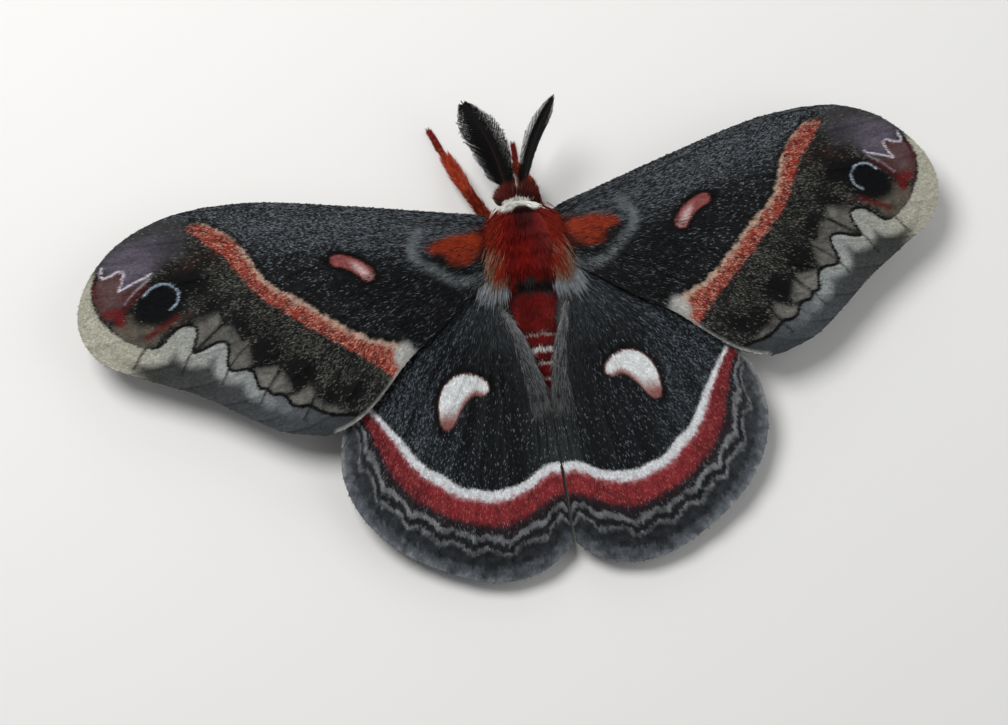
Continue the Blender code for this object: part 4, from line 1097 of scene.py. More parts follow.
def make_wing_skin(kind, plan, side):
    u, v = wing_grid(plan, SKIN_STEP)
    count = u.size
    flat = on_wing(plan, u, v).reshape(-1, 2)
    paint, share, dust = plan["painter"](flat[:, 0], flat[:, 1], u.ravel(), v.ravel())
    top_paint = mix(paint, dust, 0.5 * share)
    points = [wing_place(plan, side, u, v, lift).reshape(-1, 3)
              for lift in (SKIN_HALF_THICKNESS, -SKIN_HALF_THICKNESS)]
    index = grid_index(*u.shape)
    upper = grid_faces(index)[:, ::-1]
    lower = grid_faces(index) + count
    rim = rim_of(index)
    after = np.roll(rim, -1)
    sewn = np.stack([rim, rim + count, after + count, after], axis=-1)
    places = np.vstack([plan_place(u.ravel(), v.ravel(), above) for above in (True, False)])
    made = new_piece(kind + "_skin_" + side, np.vstack(points), np.vstack([upper, lower, sewn]),
                     WING_SKIN, np.vstack([top_paint, underside(top_paint)]), places)
    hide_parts(kind + "_" + side)
    return made


WING_KINDS = (("forewing", FOREWING), ("hindwing", HINDWING))
for kind, plan in WING_KINDS:
    for side in ("left", "right"):
        skin = make_wing_skin(kind, plan, side)
        print(skin.name, len(skin.data.polygons), "faces")

# %% [markdown]
# ## Scales and hairs on the wings
# The pile of a moth's wing is overlapping scales, with hairs among them towards the body. Real
# ones are far too many, so each tuft here stands for a small group. A wing scale tuft is the
# smallest closed solid there is, four faces, which is what lets there be so many. They are rooted
# at random, evenly by area, point from the hinge to the margin and lift a little off the skin.

# %% Make flat scale tufts and bent hair tufts
def flat_tufts(roots, lie, up, length, width, lift, paint, plan):
    """Closed four-faced scales: a broad root, a keel under it and a tip. Their colour carries painted shade
    underneath and painted light at the tip.
    """
    across = unit(np.cross(lie, up))
    rise = np.sin(lift)[:, None] * up + np.cos(lift)[:, None] * lie
    half = across * (width / 2)[:, None]
    points = np.stack([roots - half, roots + half, roots + rise * length[:, None],
                       roots - 0.35 * up * width[:, None] + 0.2 * lie * length[:, None]], axis=1)
    # painted light and shade on each scale: darker at its root corners, darker still on the keel beneath,
    # lighter at its tip
    shade = np.array((0.85, 0.85, 1.1, 0.7))
    patch_shape = np.array([(0.0, 0.0), (1.0, 0.0), (0.5, 1.0), (0.5, 0.4)]) * PLAN_PATCH
    base = 4 * np.arange(len(roots))[:, None, None]
    faces = (base + np.array([(0, 1, 2), (1, 0, 3), (2, 1, 3), (0, 2, 3)])).reshape(-1, 3)
    colours = (paint[:, None, :] * shade[None, :, None]).reshape(-1, 3)
    places = (plan[:, None, :] + patch_shape).reshape(-1, 2)
    return points.reshape(-1, 3), faces, colours, places


HAIR_SHAPE = {2: ((0.0, 1.0), (0.5, 0.8)), 3: ((0.0, 1.0), (0.35, 0.95), (0.7, 0.6))}


def hair_tufts(roots, lie, up, length, width, lift, droop, paint, tip_paint, plan, rings=2):
    """Closed three-sided hairs that leave the skin at an angle and bend over to lie along it."""
    across = unit(np.cross(lie, up))
    shares = [share for share, _ in HAIR_SHAPE[rings]] + [1.0]
    sizes = [size for _, size in HAIR_SHAPE[rings]]
    points, colours, places = [], [], []
    slope = np.tan(lift)
    for step, share in enumerate(shares):
        climb = slope * (share - 0.5 * droop * share * share) - (0.04 if step == 0 else 0.0)
        middle = roots + (lie * share + up * climb[:, None]) * length[:, None]
        colour = mix(paint, tip_paint, np.full(len(roots), share))
        shift = np.array((0.5, share)) * PLAN_PATCH
        if step == len(sizes):
            points.append(middle[:, None, :])
            colours.append(colour[:, None, :])
            places.append((plan + shift)[:, None, :])
            continue
        half = (width * sizes[step] / 2)[:, None]
        ring = np.stack([middle - across * half, middle + across * half, middle + up * half * 1.1], axis=1)
        points.append(ring)
        colours.append(np.repeat(colour[:, None, :], 3, axis=1))
        spread = np.array([(0.0, share), (1.0, share), (0.5, share + 0.1)]) * PLAN_PATCH
        places.append(plan[:, None, :] + spread)
    count = 3 * len(sizes) + 1
    pattern = [(0, 2, 1)]
    for ring in range(len(sizes) - 1):
        for k in range(3):
            a, b = 3 * ring + k, 3 * ring + (k + 1) % 3
            pattern += [(a, b, b + 3), (a, b + 3, a + 3)]
    last = 3 * (len(sizes) - 1)
    pattern += [(last + k, last + (k + 1) % 3, count - 1) for k in range(3)]
    base = count * np.arange(len(roots))[:, None, None]
    faces = (base + np.array(pattern)).reshape(-1, 3)
    return (np.concatenate(points, axis=1).reshape(-1, 3), faces,
            np.concatenate(colours, axis=1).reshape(-1, 3), np.concatenate(places, axis=1).reshape(-1, 2))


# %% Root the scales on each wing
SCALE_SPACING = {"forewing": 0.179, "hindwing": 0.176}
UNDER_SPACING = 0.48
COLOUR_SHARE = 0.5  # a scale takes its colour from the place under its middle
# ranges of brightness, length, width and lift in degrees
UPPER_SCALES = ((0.82, 1.2), (0.34, 0.60), (0.14, 0.24), (3.0, 15.0))
UNDER_SCALES = ((0.8, 1.2), (0.7, 1.0), (0.36, 0.5), (3.0, 10.0))
WING_ROOT = (5.0, -2.0)


def random_on_wing(plan, spacing, rng):
    """Places spread evenly by area over the wing, one for each square of this side on average."""
    u, v = wing_grid(plan, 1.0)
    flat = on_wing(plan, u, v)
    along = flat[1:, :-1] - flat[:-1, :-1]
    across = flat[:-1, 1:] - flat[:-1, :-1]
    area = np.abs(along[..., 0] * across[..., 1] - along[..., 1] * across[..., 0])
    wanted = area / spacing ** 2
    count = np.floor(wanted + rng.random(wanted.shape)).astype(int)
    cell_v, cell_u = np.nonzero(count)
    repeats = count[cell_v, cell_u]
    cell_v, cell_u = np.repeat(cell_v, repeats), np.repeat(cell_u, repeats)
    step_u, step_v = u[0, 1] - u[0, 0], v[1, 0] - v[0, 0]
    return (u[0, cell_u] + step_u * rng.random(len(cell_u)),
            v[cell_v, 0] + step_v * rng.random(len(cell_v)))


def wing_frame(plan, side, u, v, lift):
    """Roots on the wing, with the way towards the margin and the way up at each."""
    step = 0.004
    lie = unit(wing_place(plan, side, u, np.minimum(v + step, 1.0), lift)
               - wing_place(plan, side, u, np.maximum(v - step, 0.0), lift))
    across = (wing_place(plan, side, np.minimum(u + step, 1.0), v, lift)
              - wing_place(plan, side, np.maximum(u - step, 0.0), v, lift))
    up = unit(np.cross(across, lie))
    return wing_place(plan, side, u, v, lift), lie, up * np.sign(up[:, 2:3])


def make_scales(kind, plan, side, upper, seed):
    """A wing's scales, above or below. Those above are longer and narrower near the body."""
    rng = np.random.default_rng(seed)
    u, v = random_on_wing(plan, SCALE_SPACING[kind] if upper else UNDER_SPACING, rng)
    flat = on_wing(plan, u, v)
    count = len(u)
    shades, lengths, widths, lifts = UPPER_SCALES if upper else UNDER_SCALES
    paint = scattered(*plan["painter"](flat[:, 0], flat[:, 1], u, v), rng)
    paint = (paint if upper else underside(paint)) * rng.uniform(*shades, count)[:, None]
    thin = SKIN_HALF_THICKNESS if upper else -SKIN_HALF_THICKNESS
    roots, lie, up = wing_frame(plan, side, u, v, thin)
    near_body = 0.0
    if upper:
        near_body = fade(np.hypot(*(flat - WING_ROOT).T), 26.0, 8.0)
        lie = unit(lie + np.cross(up, lie) * rng.normal(0.0, 0.22, count)[:, None])
    length = rng.uniform(*lengths, count) * (1 + 0.9 * near_body)
    width = rng.uniform(*widths, count) * (1 - 0.4 * near_body)
    lift = np.radians(rng.uniform(*lifts, count) + 4 * near_body)
    roots = roots - lie * (COLOUR_SHARE * length)[:, None]
    shape = flat_tufts(roots, lie, up if upper else -up, length, width, lift, paint,
                       plan_place(u, v, upper))
    return coat_piece(kind + ("_scales_" if upper else "_under_scales_") + side, shape, WING_SCALES)


seed = 100
for kind, plan in WING_KINDS:
    for side in ("left", "right"):
        for upper in (True, False):
            coat = make_scales(kind, plan, side, upper, seed)
            print(coat.name, len(coat.data.polygons), "faces")
            seed += 1

# %% [markdown]
# ## The body's skin
# Head, thorax and abdomen are one skin, so no seam shows between them. It is a loft: oval
# sections along the body, joined into a tube and closed at both ends. The sections lie inside the
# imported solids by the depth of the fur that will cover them.

# %% Loft the body
BODY_SECTIONS = np.array([
    (-24.1, 1.7, 0.25, 0.35), (-23.2, 1.9, 0.95, 1.15), (-21.0, 2.4, 1.8, 1.95), (-18.0, 3.1, 2.6, 2.5),
    (-15.0, 3.8, 3.3, 2.9), (-12.0, 4.6, 3.9, 3.2), (-8.5, 5.5, 4.4, 3.5), (-5.9, 6.6, 4.2, 3.4),
    (-4.6, 7.3, 4.5, 3.7), (-2.6, 7.8, 4.9, 4.1), (0.0, 8.1, 5.0, 4.2), (2.4, 8.2, 4.8, 4.0),
    (4.2, 8.2, 4.3, 3.6), (5.5, 8.2, 3.7, 3.2), (6.1, 8.2, 3.5, 3.0), (6.8, 8.0, 2.8, 2.5),
    (7.4, 7.7, 2.0, 1.9), (8.2, 7.6, 2.15, 1.9), (9.1, 7.4, 2.0, 1.75), (9.9, 7.2, 1.3, 1.15),
    (10.25, 7.1, 0.5, 0.5),
])
BODY_REAR, BODY_FRONT = BODY_SECTIONS[0, 0], BODY_SECTIONS[-1, 0]
BODY_SWING = math.sin(HINDWING["swing"])
BODY_ROWS, BODY_SIDES = 180, 72
SEAM = 0.97  # how much of the plan's width the skin takes up


def body_place(y, turn):
    """A point of the body's skin: place along Y, and the angle round it from the top."""
    middle, wide, high = section_at(BODY_SECTIONS, y)
    shift = np.where(y < -5.0, -(y + 5.0) * BODY_SWING, 0.0)
    return np.stack([shift + wide * np.sin(turn), y, middle + high * np.cos(turn)], axis=-1)


def body_frame(y, turn):
    """Roots on the body's skin, with the way to the rear and the way out at each."""
    step = 0.25
    rear = (body_place(np.maximum(y - step, BODY_REAR), turn)
            - body_place(np.minimum(y + step, BODY_FRONT), turn))
    round_it = body_place(y, turn + 0.02) - body_place(y, turn - 0.02)
    out = unit(np.cross(rear, round_it))
    middle = np.interp(y, BODY_SECTIONS[:, 0], BODY_SECTIONS[:, 1])
    centre = body_place(y, turn) - np.stack([np.zeros_like(y), y, middle], axis=-1)
    out = out * np.sign(np.sum(out * centre, axis=-1, keepdims=True))
    return body_place(y, turn), unit(rear), out


THORAX_RED = tone(118, 17, 10)
THORAX_DARK = tone(58, 8, 8)
SHOULDER_ORANGE = tone(158, 44, 18)
STRIPE_MAROON = tone(24, 8, 9)
WAIST_GREY = tone(46, 44, 44)
ABDOMEN_RED = tone(116, 22, 18)
ABDOMEN_DARK = tone(64, 14, 14)
BAND_SHADE = tone(40, 14, 14)
BAND_HAIR = tone(204, 202, 198)
FLANK_GREY = tone(168, 160, 152)
UNDERSIDE_RED = tone(120, 60, 44)
COLLAR_WHITE = tone(216, 216, 208)
HEAD_RED = tone(86, 26, 18)
HEAD_DARK = tone(40, 14, 12)
# place along Y, half width, and how white
WHITE_BANDS = [(-12.9, 0.15, 0.35), (-15.1, 0.32, 0.95), (-17.1, 0.15, 0.75), (-19.3, 0.13, 0.6),
               (-21.3, 0.12, 0.5)]


def thorax_paint(x, y, turn, blotch):
    ragged = y + 1.4 * (mottle(x + 20, y * 0.5, 0.9, 84) - 0.5)
    stripe = fade(np.abs(x - 0.3), 1.7, 0.5) * fade(y, 0.6, 4.4)
    waist = fade(ragged, -2.8, -4.0) * fade(np.abs(x - 0.5), 3.6, 2.0)
    return layered(
        mix(THORAX_RED, THORAX_DARK, 0.6 * blotch),
        (SHOULDER_ORANGE, fade(np.abs(x), 2.0, 3.8) * fade(y, 0.8, 3.2) * 0.75),
        (STRIPE_MAROON, 0.65 * stripe),
        (mix(WAIST_GREY, STRIPE_MAROON, blotch), waist),
        (UNDERSIDE_RED, 0.8 * fade(np.abs(turn), 1.5, 2.2)))


def abdomen_paint(x, y, turn, blotch):
    paint = mix(ABDOMEN_RED, ABDOMEN_DARK, 0.7 * blotch)
    for band, half, strength in WHITE_BANDS:
        jagged = band + 0.3 * (mottle(x, x * 0 + band, 0.7, 82) - 0.5)
        paint = layered(
            paint,
            (BAND_SHADE, 0.6 * fade(np.abs(y - jagged - half - 0.3), 0.4, 0.1)),
            (BAND_HAIR, strength * fade(np.abs(y - jagged), half + 0.15, half - 0.08)))
    flank = fade(np.abs(turn), 1.1, 1.5) * fade(np.abs(turn), 2.2, 1.8)
    ragged = y + 1.2 * (mottle(x + 20, y * 0.5, 0.9, 85) - 0.5)
    return layered(
        paint,
        (FLANK_GREY, 0.5 * flank),
        (mix(WAIST_GREY, ABDOMEN_DARK, blotch), fade(ragged, -7.6, -6.4) * fade(np.abs(x), 4.6, 2.8)))


def body_paint(x, y, turn):
    """The skin and fur colours of the body, from the place along it and the angle round it."""
    blotch = mottle(x + 40, y * 0.6, 1.2, 81)
    notch = 0.5 * fade(np.abs(x - 0.2), 1.2, 0.3)
    return layered(
        thorax_paint(x, y, turn, blotch),
        (abdomen_paint(x, y, turn, blotch), fade(y, -5.6, -6.8)),
        (STRIPE_MAROON, 0.8 * fade(np.abs(y - 5.9), 0.6, 0.2) * fade(np.abs(x - 0.2), 1.8, 0.8)),
        (COLLAR_WHITE, fade(y - notch, 6.0, 6.3) * fade(np.abs(turn), 1.6, 1.35)),
        (mix(HEAD_RED, HEAD_DARK, blotch), fade(y, 7.35, 7.6)))


def body_plan(y, turn):
    across = (turn + math.pi) / (2 * math.pi)
    along = (y - BODY_REAR) / (BODY_FRONT - BODY_REAR)
    return np.stack([0.01 + SEAM * across, 0.01 + 0.97 * along], axis=-1)


def make_body_skin():
    around = -math.pi + 2 * math.pi * np.arange(BODY_SIDES) / BODY_SIDES
    y, turn = np.meshgrid(np.linspace(BODY_REAR, BODY_FRONT, BODY_ROWS), around, indexing="ij")
    skin = body_place(y, turn)
    points, faces = loft_arrays(skin)
    paint = body_paint(skin[..., 0].ravel(), y.ravel(), turn.ravel())
    places = np.vstack([body_plan(y.ravel(), turn.ravel()), [(0.5, 0.005), (0.5, 0.995)]])
    made = new_piece("body_skin", points, faces, BODY_SKIN,
                     np.vstack([paint, paint[:1], paint[-1:]]), places, seam=SEAM)
    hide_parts("head", "collar", "thorax", "abdomen")
    return made


print("body skin:", len(make_body_skin().data.polygons), "faces")

# %% [markdown]
# ## The body's fur
# The thorax wears long, soft hair that lies back in loose tufts and spreads over the wing roots,
# the collar is a dense white ruff, and the abdomen is ringed with short red and white hair. Each
# coat is a cloud of bent, tapered hairs rooted on the skin. Their lie, length and lift are set
# from where they grow, and their colour from the same paint as the skin's, with painted shade
# darkening each hair's root and painted light brightening its tip.

# %% Grow a coat on the body
HAIR_SHARE = 1.0
FLOOR_CLEARANCE = 0.02


def scatter_on_body(count, y_range, turn_range, rng):
    """Places spread evenly by area over a stretch of the body."""
    count = int(count * HAIR_SHARE)
    y = rng.uniform(*y_range, 4 * count)
    girth = np.interp(y, BODY_SECTIONS[:, 0], BODY_SECTIONS[:, 2] + BODY_SECTIONS[:, 3])
    kept = rng.random(4 * count) * girth.max() < girth
    y = y[kept][:count]
    return y, rng.uniform(*turn_range, len(y)) * rng.choice((-1.0, 1.0), len(y))


def tousle(x, y, size, seed):
    """Hair gathers in loose tufts: neighbours lean the same way, by up to one."""
    return 2 * mottle(x, y, size, seed) - 1


def body_coat(name, slot_name, count, y_range, turn_range, hair, seed, rings, spread, forward=False):
    """Hair gives the length, width, lift in degrees and droop."""
    rng = np.random.default_rng(seed)
    y, turn = scatter_on_body(count, y_range, turn_range, rng)
    roots, rear, out = body_frame(y, turn)
    round_it = unit(np.cross(out, rear)) * np.sign(turn)[:, None]
    onward = body_place(y, turn * 1.02) - roots
    round_it = round_it * np.sign(np.sum(round_it * onward, axis=-1, keepdims=True))
    lean = (0.35 * tousle(roots[:, 0] + 50, roots[:, 1] + roots[:, 2], 1.1, seed)
            + rng.normal(0, 0.10, len(y)))
    sideways = (spread * np.abs(np.sin(turn)) + lean * 0.5)[:, None]
    lie = unit((-rear if forward else rear) + round_it * sideways)
    length, width, lift, droop = hair
    lengths = length * rng.uniform(0.75, 1.15, len(y))
    ruffled = 1 + 0.35 * tousle(roots[:, 0], roots[:, 1] + 30, 1.3, seed + 1)
    lifts = np.radians(lift * ruffled * rng.uniform(0.8, 1.2, len(y)))
    paint = body_paint(roots[:, 0], y, turn) * rng.uniform(0.7, 1.35, len(y))[:, None]
    # painted shade and light: each hair is darker at its root, deep in the coat, and lighter at its tip
    shape = hair_tufts(roots - 0.1 * out, lie, out, lengths, width * rng.uniform(0.8, 1.2, len(y)),
                       lifts, droop, paint * 0.6, paint * 1.15, body_plan(y, turn), rings)
    shape[0][:, 2] = np.maximum(shape[0][:, 2], FLOOR_CLEARANCE)
    return coat_piece(name, shape, FUR)


# name, slot, hairs, along Y, round from the top, (length, width, lift, droop), seed, rings, spread
COATS = [
    ("thorax_fur_top", "thorax_fur", 9800, (-5.4, 5.6), (0.0, 1.75), (2.4, 0.13, 24.0, 1.0), 201, 3, 0.35),
    ("thorax_fur_under", "thorax_fur", 2800, (-5.6, 5.6), (1.6, math.pi), (1.5, 0.20, 22.0, 0.8),
     202, 2, 0.0),
    ("abdomen_fur_top", "abdomen_fur", 12500, (-23.9, -4.9), (0.0, 1.7), (0.8, 0.13, 24.0, 0.9), 203, 2, 0.0),
    ("abdomen_fur_under", "abdomen_fur", 3800, (-23.9, -4.9), (1.6, math.pi), (0.8, 0.2, 12.0, 0.8),
     204, 2, 0.0),
    ("collar_fur", "collar_fur", 3400, (5.9, 7.5), (0.0, 1.6), (1.5, 0.13, 20.0, 0.7), 205, 2, 0.5),
    ("head_fur", "head_fur", 4800, (7.2, 10.2), (0.0, math.pi), (1.45, 0.11, 50.0, 0.6), 206, 2, 0.0, True),
]
for row in COATS:
    print(row[0], len(body_coat(*row).data.polygons), "faces")

# %% [markdown]
# ## Long tufts at the wing roots
# Behind each shoulder a fan of long hair covers the joint of the wings. It starts red, turns tan
# and ends in pale tips, and below it a silvery tuft grows from the root of the hindwing. Along the
# abdomen the hindwings' inner edges carry a fringe of long grey hair. All are the same bent hairs,
# rooted on the body or on the wing, with their own lengths and colours.

# %% Grow the shoulder fans, the silver tufts and the inner fringes
# name, slot, seed, hairs, line of roots, spread about it, aims at its two ends,
# (length, width, lift, droop), colours at root and tip
FANS = [
    ("shoulder_fan", "thorax_fur", 301, 1200, ((3.2, 5.0, 10.9), (4.0, -2.6, 11.0)), (0.5, 0.6, 0.25),
     ((0.85, -0.7, -0.10), (0.40, -1.0, -0.16)), (3.0, 0.14, 14.0, 1.3),
     (tone(104, 16, 10), tone(132, 42, 24))),
    ("shoulder_tips", "thorax_fur", 311, 1300, ((4.1, 0.4, 11.0), (4.5, -2.9, 10.6)), (0.6, 0.6, 0.22),
     ((0.55, -1.0, -0.12), (0.25, -1.0, -0.2)), (3.2, 0.11, 12.0, 1.3),
     (tone(96, 38, 26), tone(150, 122, 100))),
    ("silver_tuft", "hindwing", 321, 1100, ((3.9, -2.8, 9.3), (6.2, -3.2, 9.2)), (0.5, 0.7, 0.15),
     ((0.05, -1.0, -0.08), (0.55, -1.0, -0.10)), (4.6, 0.12, 9.0, 1.2),
     (tone(150, 152, 154), tone(128, 132, 136))),
    ("flank_tuft", "abdomen_fur", 331, 1000, ((4.0, -4.8, 7.2), (3.2, -11.5, 6.4)), (0.3, 0.5, 0.5),
     ((1.0, -0.55, 0.20), (0.8, -0.9, 0.15)), (2.6, 0.13, 10.0, 1.0),
     (tone(44, 36, 36), tone(112, 112, 112))),
]
# wing, name, hairs, range across the wing, range along it, (length, width, lift, droop), colour, seed
WING_HAIRS = [
    ("hindwing", HINDWING, "inner_fringe", 1300, (0.87, 0.99), (0.06, 0.48), (2.4, 0.055, 9.0, 0.9),
     tone(152, 153, 154), 401),
    ("hindwing", HINDWING, "hindwing_hair", 2200, (0.55, 0.95), (0.05, 0.42), (2.6, 0.06, 7.0, 0.9),
     tone(66, 70, 73), 411),
    ("forewing", FOREWING, "forewing_hair", 1600, (0.45, 0.97), (0.04, 0.40), (2.2, 0.08, 7.0, 0.9),
     tone(44, 44, 46), 421),
]
HAIRLESS_OVAL = ((11.8, -18.6), (5.6, 5.2))  # no long hair over the hindwing's comma


def make_fan(side, number, name, slot_name, seed, count, line, jitter, aims, hair, paints):
    """Hairs rooted along a line, whose aim turns from one end of the line to the other."""
    rng = np.random.default_rng(seed + number)
    sign = np.array((-1.0 if side == "left" else 1.0, 1.0, 1.0))
    share = rng.random(int(count * HAIR_SHARE))[:, None]
    start, end = (np.array(place) for place in line)
    roots = start * (1 - share) + end * share + rng.normal(0, 1, (len(share), 3)) * np.array(jitter)
    aim = mix(np.broadcast_to(aims[0], roots.shape), np.array(aims[1]), share[:, 0])
    lie = unit(aim + rng.normal(0, 0.09, roots.shape)) * sign
    up = np.broadcast_to((0.0, 0.0, 1.0), roots.shape)
    up = unit(up - lie * np.sum(up * lie, axis=-1, keepdims=True))
    length, width, lift, droop = hair
    lengths = length * rng.uniform(0.7, 1.15, len(roots))
    lifts = np.radians(lift * rng.uniform(0.6, 1.4, len(roots)))
    shade = rng.uniform(0.75, 1.3, len(roots))[:, None]
    plan = body_plan(roots[:, 1], sign[0] * np.clip(np.abs(roots[:, 0]) / 5.0, 0, 1.4))
    shape = hair_tufts(roots * sign, lie, up, lengths, np.full(len(roots), width), lifts, droop,
                       paints[0] * shade, paints[1] * shade, plan, 3)
    return coat_piece(name + "_" + side, shape, FUR)


def make_wing_hair(side, number, kind, plan, name, count, u_range, v_range, hair, paint, seed):
    """Long hairs that lie along a wing from the hinge outwards."""
    rng = np.random.default_rng(seed + number)
    count = int(count * HAIR_SHARE)
    u = u_range[1] - (u_range[1] - u_range[0]) * rng.random(count) ** 1.5
    v = v_range[0] + (v_range[1] - v_range[0]) * rng.random(count) ** 0.8
    flat = on_wing(plan, u, v)
    clear = oval(flat[:, 0], flat[:, 1], *HAIRLESS_OVAL) < 0.5
    u, v = u[clear], v[clear]
    count = len(u)
    roots, lie, up = wing_frame(plan, side, u, v, SKIN_HALF_THICKNESS)
    lie = unit(lie + np.cross(up, lie) * rng.normal(0, 0.16, count)[:, None])
    length, width, lift, droop = hair
    lengths = length * rng.uniform(0.6, 1.2, count)
    fading = 1 - 0.8 * (v - v_range[0]) / v_range[1]
    colour = np.array(paint) * (rng.uniform(0.25, 1.5, count) * fading)[:, None]
    lifts = np.radians(lift * rng.uniform(0.6, 1.3, count))
    # painted shade: each hair is darker at its root, where it lies among the others
    shape = hair_tufts(roots, lie, up, lengths, np.full(count, width), lifts, droop,
                       colour * 0.8, colour, plan_place(u, v, True), 2)
    return coat_piece(name + "_" + side, shape, FUR)


for grow, table in ((make_fan, FANS), (make_wing_hair, WING_HAIRS)):
    for number, side in enumerate(("left", "right")):
        grown = [grow(side, number, *row) for row in table]
        print([(piece.name, len(piece.data.polygons)) for piece in grown])

# %% [markdown]
# ## Eyes
# A moth's eye is a dark dome of thousands of facets set into the side of the head. It could be a
# plain ball, but the facets catch the light as a fine rough gleam, so the ball gets a bump of
# small cells and a clear coat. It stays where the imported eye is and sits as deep.

# %% Make the eyes
def eye_finish():
    made, tree, surface, _ = new_finish(
        "eye",
        {"Roughness": 0.3, "Coat Weight": 0.6, "Coat Roughness": 0.12},
        {"Color": (*tone(34, 22, 18), 1.0), "Scale": 900.0, "Amount": 0.4})
    place = tree.nodes.new("ShaderNodeTexCoord")
    cells = set_inputs(tree.nodes.new("ShaderNodeTexVoronoi"), {"Scale": 9000.0})
    relief = set_inputs(tree.nodes.new("ShaderNodeBump"), {"Distance": 0.03 * MM})
    relief.invert = True
    connect(tree, (place, "Object", cells, "Vector"), (cells, "Distance", relief, "Height"),
            (relief, "Normal", surface, "Normal"))
    return made


EYE_FINISH = eye_finish()
EYE_INSET = 0.97  # the dressed eye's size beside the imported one's
HEAD_HALF_WIDTH = 2.1
BALL_ROWS, BALL_SIDES = 28, 44


def make_ball(name, centre, radii, finish):
    lean, turn = np.meshgrid(np.linspace(0.02, math.pi - 0.02, BALL_ROWS),
                             np.linspace(0, 2 * math.pi, BALL_SIDES, endpoint=False), indexing="ij")
    points = np.stack([np.sin(lean) * np.cos(turn), np.sin(lean) * np.sin(turn), np.cos(lean)], axis=-1)
    return loft(name, centre + points * radii, finish)


for side, sign in (("left", -1.0), ("right", 1.0)):
    ball = make_ball("eye_ball_" + side, EYE_CENTRE * (sign, 1, 1), EYE_RADII * EYE_INSET, EYE_FINISH)
    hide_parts("eye_" + side)
    stands = round(EYE_CENTRE[0] + EYE_RADII[0] - HEAD_HALF_WIDTH, 2)
    print(ball.name, "stands", stands, "mm out of the head")

# %% [markdown]
# ## Antennae
# A male cecropia's antenna is a feather: a short shaft of about thirty joints, each with four side
# branches, and every branch edged with fine bristles. The left one is seen from its broad side and
# the right one nearly edge on, as the comb of each is rolled about its shaft. The branches are
# tapered tubes that curl towards the tip, so they stay solid from every side.

# %% Make the antennae
ANTENNA_ROOT = (0.95, 9.35, 8.2)
ANTENNA_TIP = {"left": (-6.3, 23.6, 12.0), "right": (7.9, 22.4, 13.0)}
ANTENNA_TWIST = {"left": 12.0, "right": -68.0}
ANTENNA_ARCH = 0.8
ANTENNA_JOINTS = 31
BRANCH_LENGTH = {"outer": 3.95, "inner": 3.1}
BRANCH_SWEEP = 0.55
BRANCH_CURL = 0.35
BRANCH_DROOP = 0.06
BRANCH_RADIUS = 0.145
BRISTLE_LENGTH = 0.34
BRISTLE_WIDTH = 0.085
BRISTLES_EACH = 56
SHAFT_BROWN = tone(30, 18, 15)
BRANCH_BLACK = tone(9, 8, 8)
BRISTLE_BLACK = tone(8, 7, 7)


def straight_frame(path, share, reference=(0.0, 0.0, 1.0)):
    """Centre, way ahead, way across and way up at shares along a path."""
    share = np.asarray(share, float)
    ahead = unit(at(path, np.minimum(share + 0.02, 1)) - at(path, np.maximum(share - 0.02, 0)))
    across = unit(np.cross(ahead, reference))
    return at(path, share), ahead, across, np.cross(across, ahead)


def tube_rings(path, shares, radii, sides, reference=(0.0, 0.0, 1.0)):
    centre, _, across, upright = straight_frame(path, shares, reference)
    turn = 2 * math.pi * np.arange(sides)[None, :, None] / sides
    out = across[:, None, :] * np.cos(turn) + upright[:, None, :] * np.sin(turn)
    return centre[:, None, :] + out * np.asarray(radii)[:, None, None]


def join_lofts(parts):
    """Several tubes, each given as rings and a colour, as the arrays of one piece."""
    points, faces, colours = [], [], []
    start = 0
    for rings, colour in parts:
        tube_points, tube_faces = loft_arrays(rings)
        points.append(tube_points)
        faces.append(tube_faces + start)
        colours.append(np.broadcast_to(colour, tube_points.shape))
        start += len(tube_points)
    return np.vstack(points), np.vstack(faces), np.vstack(colours)


def make_antenna(side, seed):
    """The shaft and its branches, and where the bristles grow on them."""
    rng = np.random.default_rng(seed)
    sign = -1.0 if side == "left" else 1.0
    root = np.array(ANTENNA_ROOT) * (sign, 1, 1)
    tip = np.array(ANTENNA_TIP[side])
    middle = (root + tip) / 2 + np.array((-sign * ANTENNA_ARCH, 0.0, 0.5 * ANTENNA_ARCH))
    shaft = smooth_path([root, middle, tip], 120)
    shares = np.linspace(0, 1, 6 * ANTENNA_JOINTS)
    waist = 1 + 0.10 * np.cos(2 * math.pi * shares * ANTENNA_JOINTS)
    parts = [(tube_rings(shaft, shares, (0.34 - 0.25 * shares ** 0.8) * waist, 10), SHAFT_BROWN)]
    twist = math.radians(ANTENNA_TWIST[side])
    along = np.linspace(0, 1, 9)[:, None]
    size = BRANCH_RADIUS * (1.0 - 0.72 * along[:, 0])
    bristles = []
    for joint in range(ANTENNA_JOINTS):
        for half, reach in ((0.0, 1.0), (0.45, 0.9)):
            share = 0.06 + 0.90 * (joint + half) / ANTENNA_JOINTS
            centre, ahead, across, upright = straight_frame(shaft, share)
            comb = across * math.cos(twist) + upright * math.sin(twist)
            away = -across * math.sin(twist) + upright * math.cos(twist)
            fullness = math.sin(math.pi * (0.14 + 0.84 * share)) ** 0.8 * (1 - 0.5 * share ** 4)
            for which, way in (("outer", sign), ("inner", -sign)):
                heading = unit(comb * way + ahead * BRANCH_SWEEP + away * (0.10 if half else -0.10))
                length = BRANCH_LENGTH[which] * fullness * reach * rng.uniform(0.93, 1.05)
                curve = centre + length * (heading * along + ahead * BRANCH_CURL * along ** 2
                                           - away * BRANCH_DROOP * along ** 2)
                parts.append((tube_rings(curve, along[:, 0], size, 5, away), BRANCH_BLACK))
                bristles.append((curve, away, heading))
    points, faces, colours = join_lofts(parts)
    antenna = new_piece("antenna_comb_" + side, points, faces, HORN, colours)
    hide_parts("antenna_" + side)
    return antenna, bristles


